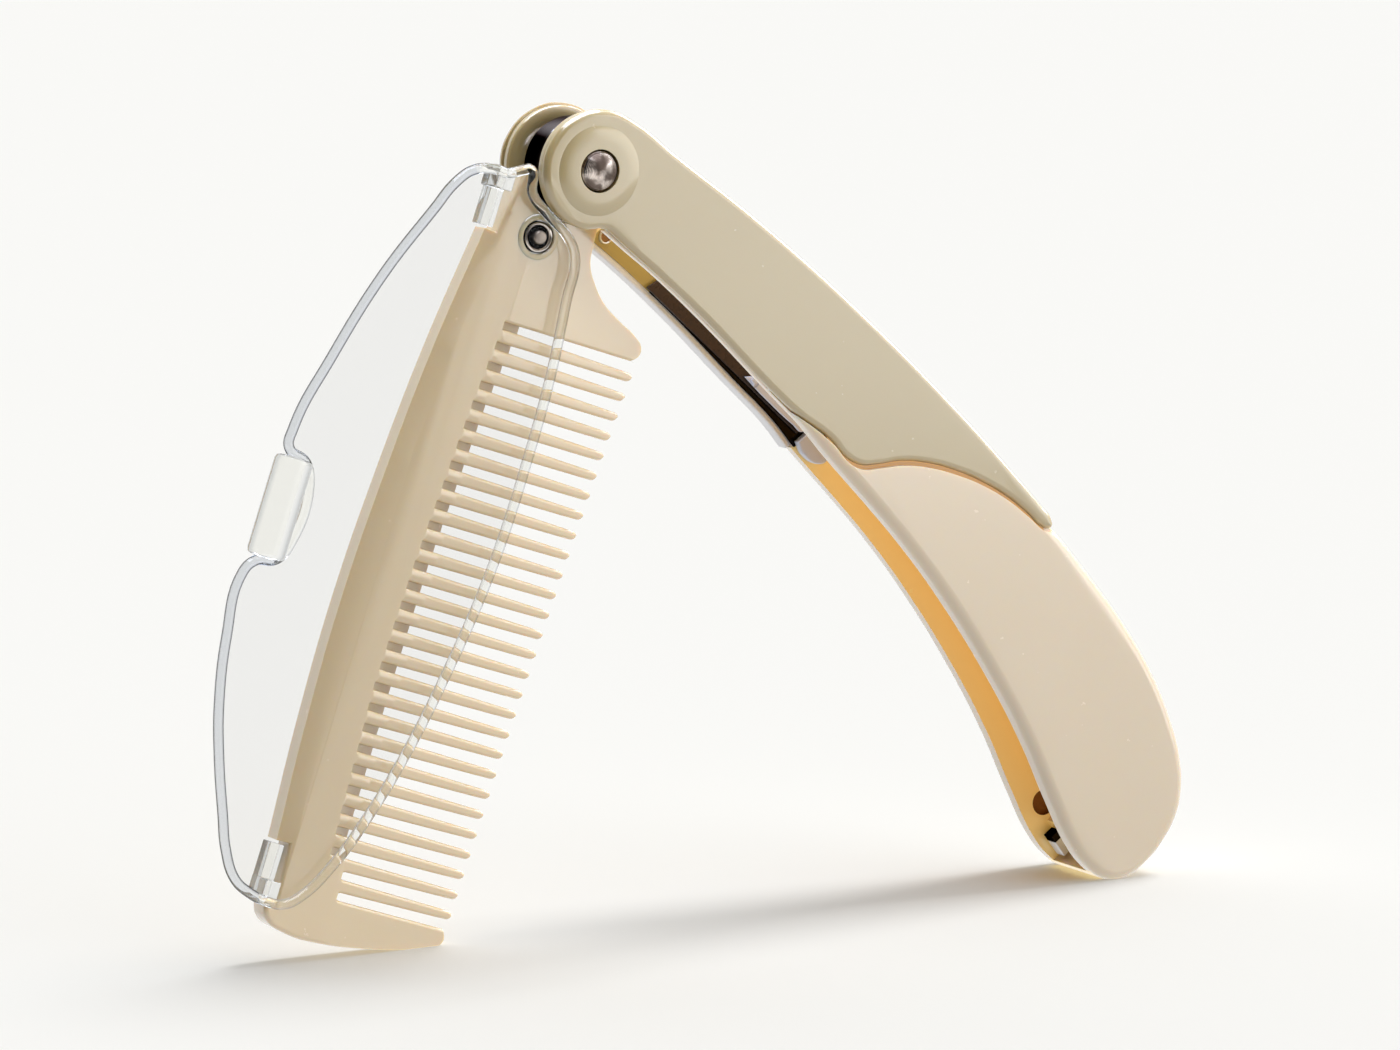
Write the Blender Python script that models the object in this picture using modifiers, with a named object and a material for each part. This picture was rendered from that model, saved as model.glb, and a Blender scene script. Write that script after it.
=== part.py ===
"""Folding comb on a handle, standing as an upside-down V, with a clear shield on the comb.

Units: dimensions are in millimetres and the objects are in metres, +Z up.
Each half is modelled flat in its own frame: u runs down the half from the pivot, v runs across it
and w is the thickness, positive to the front (-Y).
"""
import math

import bmesh
import bpy
from mathutils import Matrix, Vector

MM = 0.001
PIVOT_X = -15.46
PIVOT_Z = 84.45
COMB_ANGLE = -109.3
HANDLE_ANGLE = -53.0

# comb blank
COMB_HALF_T = 1.6
TIP_HALF_T = 0.85
THIN_FROM_V = -3.0
EDGE_R = 0.45
NECK_SLOT_HALF_T = 0.85
# gaps between the teeth
TOOTH_PITCH = 2.297
FIRST_GAP_U = 18.9
GAP_COUNT = 29
PLAIN_GAPS = 2
GAP_HALF_ROOT = 0.44
GAP_HALF_MID = 0.55
GAP_HALF_END = 0.64
TIP_ROUND = 0.55
HORN_U = 18.28
LOW_HORN_U = 83.65
# steel on the comb
TANG_R = 5.5
TANG_HOLE_R = 2.2
TONGUE_HALF_T = 0.5
STUD_U = 8.63
STUD_V = -2.64
STUD_R = 1.72
STUD_HOLE_R = 2.0
# clear shield
SHIELD_W = 2.6
RIM_R = 0.5
SHEET_HALF_T = 0.22
# handle
HALF_T = 5.9
CORE_HALF_T = 4.5
CHANNEL_HALF = 3.55
COVER_IN_W = 4.8
RIM_ROUND = 1.2
EAR_R = 6.4
EAR_GAP_R = 6.75
PIN_R = 1.9
PIN_HEAD_R = 2.2
PIN_HOLE_R = 2.37
HEAD_PROUD = 0.4

SMOOTH = "smooth"
CORNER = "corner"

# outlines: u, v, kind
NECK = (
    (4.3, 4.3, CORNER), (5.7, 2.1, SMOOTH), (6.1, 0.0, SMOOTH), (5.2, -3.1, SMOOTH),
    (2.0, -5.75, CORNER), (2.5, -6.5, CORNER), (9.5, -7.6, CORNER),
)
SPINE = (
    (9.5, -8.95, CORNER), (23.5, -10.8, SMOOTH), (36.5, -11.9, SMOOTH), (52.0, -12.6, SMOOTH),
    (66.0, -12.35, SMOOTH), (79.1, -11.6, CORNER), (79.1, -10.1, CORNER), (85.9, -9.8, CORNER),
)
FOOT = (
    (86.0, -11.0, CORNER), (87.6, -10.2, SMOOTH), (88.6, -7.4, SMOOTH), (88.7, -3.2, SMOOTH),
    (87.9, 2.9, SMOOTH), (86.9, 7.5, SMOOTH), (86.0, 10.6, SMOOTH), (84.9, 11.7, SMOOTH),
)
TIPS = (
    (83.66, 11.3, CORNER), (83.6, 11.75, CORNER), (75.2, 11.95, SMOOTH), (66.0, 12.1, SMOOTH),
    (50.0, 12.6, SMOOTH), (33.8, 13.25, SMOOTH), (20.0, 14.1, SMOOTH), (18.3, 14.2, CORNER),
)
HEAD = (
    (18.25, 13.3, CORNER), (17.4, 14.05, SMOOTH), (16.5, 14.0, SMOOTH), (15.6, 12.9, SMOOTH),
    (14.4, 10.1, SMOOTH), (13.2, 7.8, SMOOTH), (11.4, 5.9, SMOOTH), (9.7, 4.75, SMOOTH),
    (7.6, 4.4, SMOOTH),
)
# where each gap opens through the blank, and where its slope starts: u, v at the middle, v on the face
GAP_ROOTS = (
    (18.9, -0.7, -3.6), (28.0, -1.9, -4.5), (46.0, -2.9, -5.6), (60.0, -3.0, -6.0),
    (78.0, -2.8, -5.2), (83.3, -2.35, -4.6),
)
# free ends of the teeth: u, v
TIP_LINE = ((20.0, 14.1), (27.0, 13.6), (40.7, 13.0), (59.0, 12.35), (70.6, 12.05), (82.1, 11.85))

SHIELD_LOOP = (
    (3.2, -10.5, SMOOTH), (3.2, -9.1, SMOOTH), (2.3, -7.2, SMOOTH), (2.0, -6.4, SMOOTH),
    (4.4, -5.4, SMOOTH), (6.0, -2.9, SMOOTH), (7.6, 0.2, SMOOTH), (9.6, 1.9, SMOOTH),
    (14.2, 2.4, SMOOTH), (22.0, 3.2, SMOOTH), (31.3, 3.5, SMOOTH), (44.1, 3.2, SMOOTH),
    (56.0, 1.7, SMOOTH), (67.4, -0.6, SMOOTH), (74.1, -2.6, SMOOTH), (79.7, -4.8, SMOOTH),
    (84.2, -7.6, SMOOTH), (85.5, -9.3, SMOOTH), (85.7, -11.0, SMOOTH), (85.2, -13.9, SMOOTH),
    (84.2, -15.9, SMOOTH), (81.5, -17.9, SMOOTH), (77.9, -19.5, SMOOTH), (72.4, -21.8, SMOOTH),
    (66.8, -23.7, SMOOTH), (59.6, -25.2, SMOOTH), (52.6, -25.6, SMOOTH), (51.0, -24.6, SMOOTH),
    (50.2, -22.2, SMOOTH), (48.0, -21.1, SMOOTH), (41.6, -21.0, SMOOTH), (39.4, -22.2, SMOOTH),
    (38.4, -24.6, SMOOTH), (36.4, -24.8, SMOOTH), (27.9, -22.9, SMOOTH), (17.6, -19.8, SMOOTH),
    (9.2, -16.2, SMOOTH), (5.9, -14.7, SMOOTH), (4.0, -13.0, SMOOTH),
)
TAB_U = (39.2, 50.4)
TAB_V = -23.6
TAB_R = 2.12

MOUTH = (
    (5.0, -3.3), (9.4, -2.3), (13.8, -1.2), (22.0, 0.4), (32.9, 2.0), (40.2, 3.1), (43.6, 3.2),
    (51.7, 4.1),
)
LOWER = (
    (47.6, 3.65, CORNER), (51.7, 4.1, SMOOTH), (59.4, 4.75, SMOOTH), (67.0, 4.9, SMOOTH),
    (77.5, 4.4, SMOOTH), (87.3, 3.2, SMOOTH), (95.0, 1.6, SMOOTH), (101.0, 0.6, SMOOTH),
    (104.4, 0.75, SMOOTH), (106.9, 1.6, SMOOTH), (108.5, 3.3, SMOOTH), (109.1, 7.0, SMOOTH),
    (108.6, 10.4, SMOOTH), (107.3, 13.5, SMOOTH), (105.0, 16.0, SMOOTH), (102.2, 17.75, SMOOTH),
    (98.0, 19.3, SMOOTH), (92.0, 20.6, SMOOTH), (85.0, 21.15, SMOOTH), (77.5, 21.0, SMOOTH),
    (70.3, 20.2, CORNER), (68.4, 18.9, SMOOTH), (63.1, 17.75, SMOOTH), (56.1, 14.4, SMOOTH),
    (50.8, 9.8, SMOOTH), (49.2, 7.3, SMOOTH), (47.6, 5.2, CORNER),
)
BAND_WIDTH = 1.0
COVER = (
    (6.2, -1.6, CORNER), (5.75, -2.8, SMOOTH), (3.6, -5.3, SMOOTH), (0.0, -6.4, SMOOTH),
    (-3.6, -5.3, SMOOTH), (-6.0, -2.2, SMOOTH), (-6.1, 2.0, SMOOTH), (-4.2, 5.0, SMOOTH),
    (-0.7, 6.85, SMOOTH), (4.6, 8.3, SMOOTH), (17.2, 12.0, SMOOTH), (33.4, 15.8, SMOOTH),
    (51.0, 18.9, SMOOTH), (60.4, 20.1, SMOOTH), (68.9, 20.9, CORNER), (68.0, 19.3, CORNER),
    (62.9, 18.2, SMOOTH), (55.9, 14.8, SMOOTH), (50.4, 10.1, SMOOTH), (48.0, 6.4, SMOOTH),
    (45.6, 4.8, SMOOTH), (40.2, 4.5, SMOOTH), (32.9, 3.4, SMOOTH), (22.0, 1.8, SMOOTH),
    (13.8, 0.2, SMOOTH),
)
CORE = (
    (2.0, -3.7, CORNER), (13.8, -0.9, SMOOTH), (32.9, 2.4, SMOOTH), (43.6, 3.5, SMOOTH),
    (60.0, 5.2, SMOOTH), (78.0, 4.9, SMOOTH), (98.0, 1.8, CORNER), (104.0, 6.0, CORNER),
    (102.0, 15.0, CORNER), (90.0, 20.0, SMOOTH), (70.0, 19.8, SMOOTH), (60.4, 19.5, SMOOTH),
    (42.0, 16.8, SMOOTH), (17.2, 11.4, SMOOTH), (0.0, 6.5, CORNER),
)
CHANNEL = (
    (-9.0, -14.0, CORNER), (-9.0, 30.0, CORNER), (31.5, 30.0, CORNER), (33.5, 13.3, CORNER),
    (42.0, 14.9, SMOOTH), (51.0, 16.3, SMOOTH), (60.4, 17.4, SMOOTH), (72.0, 18.2, SMOOTH),
    (84.0, 18.3, SMOOTH), (92.0, 17.2, SMOOTH), (97.5, 14.0, SMOOTH), (100.5, 8.5, SMOOTH),
    (101.0, 3.1, CORNER), (105.3, 3.1, CORNER), (105.9, -14.0, CORNER),
)
RAIL_U = (9.2, 43.8)
RAIL_HALF = 0.4
PLATE = (
    (17.6, -0.1, CORNER), (43.0, 4.6, CORNER), (43.0, 8.6, CORNER), (18.6, 6.0, CORNER),
)
TONGUE = (
    (33.3, 3.15, CORNER), (36.0, 3.5, CORNER), (41.6, 4.6, SMOOTH), (43.1, 5.1, SMOOTH),
    (42.6, 6.0, SMOOTH), (40.0, 5.9, CORNER), (34.6, 4.9, CORNER),
)
RAIL_END = (
    (43.6, 3.9, CORNER), (45.2, 3.6, SMOOTH), (47.4, 4.5, SMOOTH), (47.7, 5.6, SMOOTH),
    (46.4, 6.4, SMOOTH), (43.6, 6.6, CORNER),
)

PAINT = {
    "cream": ((0.64, 0.52, 0.33), 0.32, 0.0),
    "cream_cover": ((0.66, 0.55, 0.36), 0.3, 0.0),
    "clear": ((0.9, 0.92, 0.93), 0.08, 0.0),
    "dark_steel": ((0.05, 0.04, 0.035), 0.25, 1.0),
    "bright_steel": ((0.62, 0.6, 0.58), 0.2, 1.0),
    "grey_steel": ((0.5, 0.5, 0.49), 0.38, 1.0),
}


def clear_file():
    for obj in list(bpy.data.objects):
        bpy.data.objects.remove(obj, do_unlink=True)


def collection(name, hidden):
    found = bpy.data.collections.get(name) or bpy.data.collections.new(name)
    if found.name not in bpy.context.scene.collection.children:
        bpy.context.scene.collection.children.link(found)
    found.hide_render = hidden
    return found


def material(name):
    colour, roughness, metallic = PAINT[name]
    mat = bpy.data.materials.get(name) or bpy.data.materials.new(name)
    mat.use_nodes = True
    shader = mat.node_tree.nodes["Principled BSDF"]
    shader.inputs["Base Color"].default_value = (*colour, 1.0)
    shader.inputs["Roughness"].default_value = roughness
    shader.inputs["Metallic"].default_value = metallic
    if name == "clear":
        shader.inputs["Alpha"].default_value = 0.35
    return mat


def frame_of(angle_deg):
    """World matrix of a half: columns are u, v and w."""
    a = math.radians(angle_deg)
    u = Vector((math.cos(a), 0.0, math.sin(a)))
    v = Vector((-math.sin(a), 0.0, math.cos(a)))
    w = u.cross(v)
    turn = Matrix((u, v, w)).transposed().to_4x4()
    return Matrix.Translation(Vector((PIVOT_X, 0.0, PIVOT_Z)) * MM) @ turn


COMB_FRAME = frame_of(COMB_ANGLE)
HANDLE_FRAME = frame_of(HANDLE_ANGLE)
# turns a shape drawn over (v, w) so that its length runs along u
ALONG_U = Matrix(((0.0, 0.0, 1.0, 0.0), (1.0, 0.0, 0.0, 0.0), (0.0, 1.0, 0.0, 0.0), (0.0, 0.0, 0.0, 1.0)))


def mesh_object(name, mesh, home):
    obj = bpy.data.objects.new(name, mesh)
    home.objects.link(obj)
    return obj


def bezier(curve, rows, at_w=0.0):
    spline = curve.splines.new("BEZIER")
    spline.bezier_points.add(len(rows) - 1)
    for point, (u, v, kind) in zip(spline.bezier_points, rows):
        point.co = Vector((u, v, at_w)) * MM
        handle = "AUTO" if kind == SMOOTH else "VECTOR"
        point.handle_left_type = handle
        point.handle_right_type = handle
    spline.use_cyclic_u = True


def from_curve(name, curve, home, weld=0.00001):
    holder = bpy.data.objects.new(name + "_curve", curve)
    home.objects.link(holder)
    bpy.context.view_layer.update()
    shape = holder.evaluated_get(bpy.context.evaluated_depsgraph_get())
    mesh = bpy.data.meshes.new_from_object(shape)
    bpy.data.objects.remove(holder, do_unlink=True)
    bm = bmesh.new()
    bm.from_mesh(mesh)
    bmesh.ops.remove_doubles(bm, verts=bm.verts, dist=weld)
    bmesh.ops.dissolve_degenerate(bm, edges=bm.edges, dist=weld)
    bmesh.ops.recalc_face_normals(bm, faces=bm.faces)
    bm.to_mesh(mesh)
    bm.free()
    return mesh_object(name, mesh, home)


def plate(name, rows, low_w, high_w, home, edge_r=0.0, steps=4, round_steps=1, grow=0.0):
    """Flat plate between two w levels, with its rim rounded on both faces when edge_r is set.

    grow moves the whole outline outwards, or inwards where it is negative.
    """
    curve = bpy.data.curves.new(name, "CURVE")
    curve.dimensions = "2D"
    curve.fill_mode = "BOTH"
    curve.resolution_u = steps
    curve.extrude = (0.5 * (high_w - low_w) - edge_r) * MM
    curve.offset = (grow - edge_r) * MM
    if edge_r:
        curve.bevel_depth = edge_r * MM
        curve.bevel_resolution = round_steps
    bezier(curve, rows)
    obj = from_curve(name, curve, home)
    obj.data.transform(Matrix.Translation((0.0, 0.0, 0.5 * (low_w + high_w) * MM)))
    return obj


def box(name, low, high, home):
    bm = bmesh.new()
    bmesh.ops.create_cube(bm, size=1.0)
    size = Vector(high) - Vector(low)
    middle = 0.5 * (Vector(high) + Vector(low))
    bmesh.ops.scale(bm, vec=size * MM, verts=bm.verts)
    bmesh.ops.translate(bm, vec=middle * MM, verts=bm.verts)
    mesh = bpy.data.meshes.new(name)
    bm.to_mesh(mesh)
    bm.free()
    return mesh_object(name, mesh, home)


def cylinder(name, radius, low_w, high_w, home, at=(0.0, 0.0), sides=40):
    bm = bmesh.new()
    bmesh.ops.create_cone(bm, cap_ends=True, segments=sides, radius1=radius * MM, radius2=radius * MM,
                          depth=(high_w - low_w) * MM)
    bmesh.ops.translate(bm, vec=Vector((*at, 0.5 * (low_w + high_w))) * MM, verts=bm.verts)
    mesh = bpy.data.meshes.new(name)
    bm.to_mesh(mesh)
    bm.free()
    return mesh_object(name, mesh, home)


def turned(name, profile, home, at=(0.0, 0.0), sides=40):
    """Solid of revolution about w; the profile runs top to bottom as (radius, w)."""
    mesh = bpy.data.meshes.new(name)
    points = [(r * MM, 0.0, w * MM) for r, w in profile]
    edges = [(i, i + 1) for i in range(len(points) - 1)]
    mesh.from_pydata(points, edges, [])
    obj = mesh_object(name, mesh, home)
    screw = obj.modifiers.new("turn", "SCREW")
    screw.axis = "Z"
    screw.steps = sides
    screw.render_steps = sides
    screw.use_merge_vertices = True
    screw.merge_threshold = 0.00001
    screw.use_smooth_shade = False
    apply_all(obj)
    obj.data.transform(Matrix.Translation(Vector((*at, 0.0)) * MM))
    fix_normals(obj)
    return obj


def fix_normals(obj):
    bm = bmesh.new()
    bm.from_mesh(obj.data)
    bmesh.ops.recalc_face_normals(bm, faces=bm.faces)
    bm.to_mesh(obj.data)
    bm.free()


def apply_all(obj):
    bpy.context.view_layer.update()
    shape = obj.evaluated_get(bpy.context.evaluated_depsgraph_get())
    mesh = bpy.data.meshes.new_from_object(shape)
    obj.modifiers.clear()
    obj.data = mesh


def join(objs):
    """Put separate solids into the first one's mesh."""
    bm = bmesh.new()
    for obj in objs:
        bm.from_mesh(obj.data)
    bm.to_mesh(objs[0].data)
    bm.free()
    for obj in objs[1:]:
        bpy.data.objects.remove(obj, do_unlink=True)
    return objs[0]


def boolean(obj, tool, operation, solver):
    step = obj.modifiers.new(operation.lower(), "BOOLEAN")
    step.operation = operation
    step.solver = solver
    step.object = tool
    apply_all(obj)


def cut(obj, *tools, solver="EXACT"):
    for tool in tools:
        tool.display_type = "WIRE"
        boolean(obj, tool, "DIFFERENCE", solver)


def unite(obj, *others, solver="EXACT"):
    for other in others:
        boolean(obj, other, "UNION", solver)
        bpy.data.objects.remove(other, do_unlink=True)


def tidy(obj):
    bm = bmesh.new()
    bm.from_mesh(obj.data)
    bmesh.ops.dissolve_limit(bm, angle_limit=math.radians(0.3), verts=bm.verts, edges=bm.edges)
    bmesh.ops.remove_doubles(bm, verts=bm.verts, dist=0.000004)
    bmesh.ops.dissolve_degenerate(bm, edges=bm.edges, dist=0.000002)
    bmesh.ops.triangulate(bm, faces=[f for f in bm.faces if len(f.verts) > 4])
    bmesh.ops.recalc_face_normals(bm, faces=bm.faces)
    bm.to_mesh(obj.data)
    bm.free()


def axis_empty(name, frame, home):
    """Empty on the fold axis that carries one half."""
    empty = bpy.data.objects.new(name, None)
    home.objects.link(empty)
    empty.matrix_world = frame
    return empty


def finish(obj, axis, slot, sharp_deg=32.0):
    tidy(obj)
    obj.parent = axis
    obj.data.materials.clear()
    obj.data.materials.append(material(slot))
    for face in obj.data.polygons:
        face.use_smooth = True
    obj.data.set_sharp_from_angle(angle=math.radians(sharp_deg))


def between(rows, u, column=1):
    """Value of a table's column at u, by straight lines between its rows."""
    for low, high in zip(rows, rows[1:]):
        if u <= high[0]:
            share = max(0.0, (u - low[0]) / (high[0] - low[0]))
            return low[column] + share * (high[column] - low[column])
    return rows[-1][column]


def prism(name, corners, low, high, home, turn=None):
    """Straight prism over a polygon, along w unless a turn says otherwise."""
    curve = bpy.data.curves.new(name, "CURVE")
    curve.dimensions = "2D"
    curve.fill_mode = "BOTH"
    curve.extrude = 0.5 * (high - low) * MM
    spline = curve.splines.new("POLY")
    spline.points.add(len(corners) - 1)
    for point, (x, y) in zip(spline.points, corners):
        point.co = (x * MM, y * MM, 0.0, 1.0)
    spline.use_cyclic_u = True
    obj = from_curve(name, curve, home)
    obj.data.transform(Matrix.Translation((0.0, 0.0, 0.5 * (low + high) * MM)))
    if turn:
        obj.data.transform(turn)
    return obj


def gap_plan(index):
    """Plan of the gap between two teeth; its free end flares so that the tips come out round."""
    u = FIRST_GAP_U + TOOTH_PITCH * index
    root = between(GAP_ROOTS, u)
    left_tip = between(TIP_LINE, u - 0.5 * TOOTH_PITCH)
    right_tip = between(TIP_LINE, u + 0.5 * TOOTH_PITCH)
    left, right = [], []
    for side, tip, is_horn in ((left, left_tip, index == 0), (right, right_tip, index == GAP_COUNT - 1)):
        side += [(GAP_HALF_ROOT * 0.55, root), (GAP_HALF_ROOT, root + 0.22), (GAP_HALF_MID, tip - 7.0)]
        if is_horn:
            edge = u - HORN_U if index == 0 else LOW_HORN_U - u
            side[1:] = [(min(edge, GAP_HALF_ROOT), root + 0.22), (edge, tip - 7.0), (edge, tip + 2.5)]
            continue
        reach = 0.5 * TOOTH_PITCH
        flare = reach - GAP_HALF_END
        side.append((GAP_HALF_END, tip - TIP_ROUND))
        side.append((GAP_HALF_END + 0.13 * flare, tip - 0.5 * TIP_ROUND))
        side.append((GAP_HALF_END + 0.5 * flare, tip - 0.14 * TIP_ROUND))
        side.append((reach, tip))
        side.append((reach, tip + 2.5))
    return [(u - half, v) for half, v in left] + [(u + half, v) for half, v in reversed(right)]


def slope(index, face, home):
    """Sloped run-out of one gap on one face."""
    u = FIRST_GAP_U + TOOTH_PITCH * index
    root = between(GAP_ROOTS, u, 1) + 0.1
    start = between(GAP_ROOTS, u, 2)
    half = GAP_HALF_ROOT - 0.01
    deep = 0.06
    above = COMB_HALF_T + 0.45
    run = (start - root) / (COMB_HALF_T - deep)
    corners = ((root, deep), (root + run * (above - deep), above), (root + 1.2, above), (root + 1.2, deep))
    corners = [(v, face * w) for v, w in corners]
    return prism("slope", corners, u - half, u + half, home, ALONG_U)


def thinning(face, home):
    """Wedge that thins the blank towards the tips on one face."""
    far_v = 16.0
    end_t = TIP_HALF_T - 0.1
    fall = (COMB_HALF_T - end_t) / (far_v - THIN_FROM_V)
    near_v = THIN_FROM_V - 2.0
    corners = ((near_v, COMB_HALF_T + 2.0 * fall), (near_v, 3.0), (far_v, 3.0), (far_v, end_t))
    corners = [(v, face * w) for v, w in corners]
    return prism("thinning", corners, -5.0, 95.0, home, ALONG_U)


def floor_block(frame, home):
    """Block below the floor, given in a half's own frame."""
    block = box("floor", (-200.0, -200.0, -10.0), (200.0, 200.0, 0.0), home)
    block.data.transform(frame.inverted())
    return block


def build_comb(axis, home, tools):
    blank = plate("comb", NECK + SPINE + FOOT + TIPS + HEAD, -COMB_HALF_T, COMB_HALF_T, home, EDGE_R)
    cut(blank, thinning(1.0, tools), thinning(-1.0, tools))
    cut(blank, box("neck_slot", (3.0, -5.6, -NECK_SLOT_HALF_T), (12.6, 0.6, NECK_SLOT_HALF_T), tools))
    cut(blank, cylinder("stud_hole", STUD_HOLE_R, -4.0, 4.0, tools, (STUD_U, STUD_V)))
    cut(blank, floor_block(COMB_FRAME, tools))
    for first in (0, 1):
        gaps = [prism("gap", gap_plan(i), -4.0, 4.0, tools) for i in range(first, GAP_COUNT, 2)]
        cut(blank, join(gaps), solver="MANIFOLD")
    slopes = [slope(i, face, tools) for i in range(GAP_COUNT - PLAIN_GAPS) for face in (1.0, -1.0)]
    cut(blank, join(slopes), solver="MANIFOLD")
    finish(blank, axis, "cream")
    return blank


def build_tang(axis, home, tools):
    edge = 0.15
    disc = turned("comb_tang", ((0.0, COMB_HALF_T), (TANG_R - edge, COMB_HALF_T),
                                (TANG_R, COMB_HALF_T - edge), (TANG_R, edge - COMB_HALF_T),
                                (TANG_R - edge, -COMB_HALF_T), (0.0, -COMB_HALF_T)), home, sides=48)
    unite(disc, box("tongue", (3.5, -5.2, -TONGUE_HALF_T), (12.2, 0.2, TONGUE_HALF_T), tools))
    cut(disc, cylinder("pin_hole", TANG_HOLE_R, -4.0, 4.0, tools))
    cut(disc, cylinder("tongue_hole", STUD_HOLE_R, -4.0, 4.0, tools, (STUD_U, STUD_V)))
    finish(disc, axis, "dark_steel")
    return disc


def build_stud(axis, home):
    half = COMB_HALF_T
    profile = ((0.0, half + 0.75), (0.62, half + 0.7), (0.74, half + 0.5), (0.78, half - 0.55),
               (1.3, half - 0.6), (1.42, half + 0.05), (1.6, half + 0.16), (STUD_R, half + 0.05))
    mirrored = tuple((r, -w) for r, w in reversed(profile))
    stud = turned("comb_rivet", profile + mirrored, home, (STUD_U, STUD_V), 16)
    finish(stud, axis, "bright_steel")
    return stud


def build_shield(axis, home, tools):
    rim = plate("clear_guard", SHIELD_LOOP, SHIELD_W - RIM_R, SHIELD_W + RIM_R, home, 0.3, 2, 1, RIM_R)
    for side in (1.0, -1.0):
        low, high = sorted((side * SHEET_HALF_T, side * 2.0))
        hollow = plate("hollow", SHIELD_LOOP, SHIELD_W + low, SHIELD_W + high, tools, 0.0, 2, 1, -RIM_R)
        cut(rim, hollow, solver="MANIFOLD")
    unite(rim, box("top_block", (2.75, -9.9, -1.1), (5.0, -7.9, SHIELD_W + 0.1), tools))
    unite(rim, box("top_arm", (4.5, -9.6, -1.0), (9.2, -7.95, 1.0), tools))
    unite(rim, box("low_block", (83.4, -12.1, -1.1), (85.6, -10.3, SHIELD_W + 0.1), tools))
    unite(rim, box("low_arm", (79.45, -12.1, -1.0), (83.9, -10.4, 1.0), tools))
    tab = turned("tab", ((0.0, TAB_U[1]), (1.1, TAB_U[1]), (TAB_R, TAB_U[1] - 0.6),
                         (TAB_R, TAB_U[0] + 0.6), (1.1, TAB_U[0]), (0.0, TAB_U[0])), tools, sides=16)
    tab.data.transform(Matrix.Translation(Vector((0.0, TAB_V, SHIELD_W)) * MM) @ ALONG_U)
    unite(rim, tab)
    finish(rim, axis, "clear")
    return rim


def mouth_strip(shift_low, shift_high, low_u, high_u):
    """Corners of a strip that follows the channel's mouth, from one shift inwards to another."""
    us = [low_u] + [u for u, v in MOUTH if low_u + 1.5 < u < high_u - 1.5] + [high_u]
    lower = [(u, between(MOUTH, u) + shift_low, SMOOTH) for u in us]
    upper = [(u, between(MOUTH, u) + shift_high, SMOOTH) for u in reversed(us)]
    rows = lower + upper
    ends = (0, len(us) - 1, len(us), len(rows) - 1)
    return tuple((u, v, CORNER if i in ends else kind) for i, (u, v, kind) in enumerate(rows))


def build_body(axis, home, tools):
    body = plate("handle_body", LOWER, -HALF_T, HALF_T, home, RIM_ROUND, 3, 1)
    band_half = HALF_T - 0.15
    band = plate("band", mouth_strip(0.0, BAND_WIDTH, 5.0, 52.4), -band_half, band_half, tools, 0.4, 3)
    core = plate("core", CORE, -CORE_HALF_T, CORE_HALF_T, tools, steps=3)
    unite(body, core, band, solver="MANIFOLD")
    cut(body, plate("channel", CHANNEL, -CHANNEL_HALF, CHANNEL_HALF, tools, steps=3))
    cut(body, cylinder("ear_seat", EAR_GAP_R, -8.0, 8.0, tools, sides=48))
    seat = mouth_strip(-4.0, 0.75, RAIL_U[0] - 0.3, RAIL_U[1] + 0.3)
    cut(body, plate("rail_seat", seat, -8.0, -3.0, tools, steps=3))
    cut(body, floor_block(HANDLE_FRAME, tools))
    finish(body, axis, "cream")
    return body


def build_cover(name, side, axis, home, tools):
    inner, outer = sorted((side * CHANNEL_HALF, side * HALF_T))
    cover = plate(name, COVER, inner, outer, home, 0.75, 3, 1)
    low, high = sorted((side * (CHANNEL_HALF - 0.8), side * COVER_IN_W))
    under = box("under", (-20.0, -20.0, low), (90.0, 40.0, high), tools)
    cut(under, cylinder("ear_keep", EAR_R + 0.06, -9.0, 9.0, tools, sides=48))
    cut(cover, under)
    cut(cover, cylinder("pin_hole", PIN_HOLE_R, -9.0, 9.0, tools))
    finish(cover, axis, "cream_cover")
    return cover


def build_pin(axis, home):
    top = HALF_T + HEAD_PROUD
    profile = ((0.0, top), (0.9, top - 0.06), (1.6, top - 0.22), (2.05, top - 0.45),
               (PIN_HEAD_R, HALF_T - 0.25), (PIN_HEAD_R, CHANNEL_HALF + 0.2), (PIN_R, CHANNEL_HALF - 0.1))
    mirrored = tuple((r, -w) for r, w in reversed(profile))
    pin = turned("pivot_rivet", profile + mirrored, home, sides=24)
    finish(pin, axis, "bright_steel")
    return pin


def build_steel(axis, home):
    back = -CHANNEL_HALF
    rail = plate("steel_rail", mouth_strip(-0.4, 0.42, *RAIL_U), back - 1.9, back, home, 0.18, 3)
    finish(rail, axis, "grey_steel")
    sheet = plate("steel_plate", PLATE, back + 0.3, back + 0.7, home)
    finish(sheet, axis, "dark_steel")
    tongue = plate("spring_tongue", TONGUE, back + 1.0, back + 1.3, home)
    finish(tongue, axis, "bright_steel")
    stop = plate("rail_end", RAIL_END, back + 0.3, back + 1.35, home, 0.2)
    finish(stop, axis, "grey_steel")
    clip = box("end_clip", (101.5, 1.5, back + 0.35), (104.9, 2.75, back + 2.0), home)
    finish(clip, axis, "grey_steel")
    return rail, sheet, tongue, stop, clip


def main():
    clear_file()
    home = collection("folding_comb", False)
    tools = collection("cutters", True)
    comb_axis = axis_empty("comb_axis", COMB_FRAME, home)
    handle_axis = axis_empty("handle_axis", HANDLE_FRAME, home)
    build_comb(comb_axis, home, tools)
    build_tang(comb_axis, home, tools)
    build_stud(comb_axis, home)
    build_shield(comb_axis, home, tools)
    build_body(handle_axis, home, tools)
    build_cover("front_cover", 1.0, handle_axis, home, tools)
    build_cover("back_cover", -1.0, handle_axis, home, tools)
    build_pin(handle_axis, home)
    build_steel(handle_axis, home)
    for tool in tools.objects:
        tool.hide_render = True
        tool.display_type = "WIRE"
    bpy.context.view_layer.update()


main()
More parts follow.
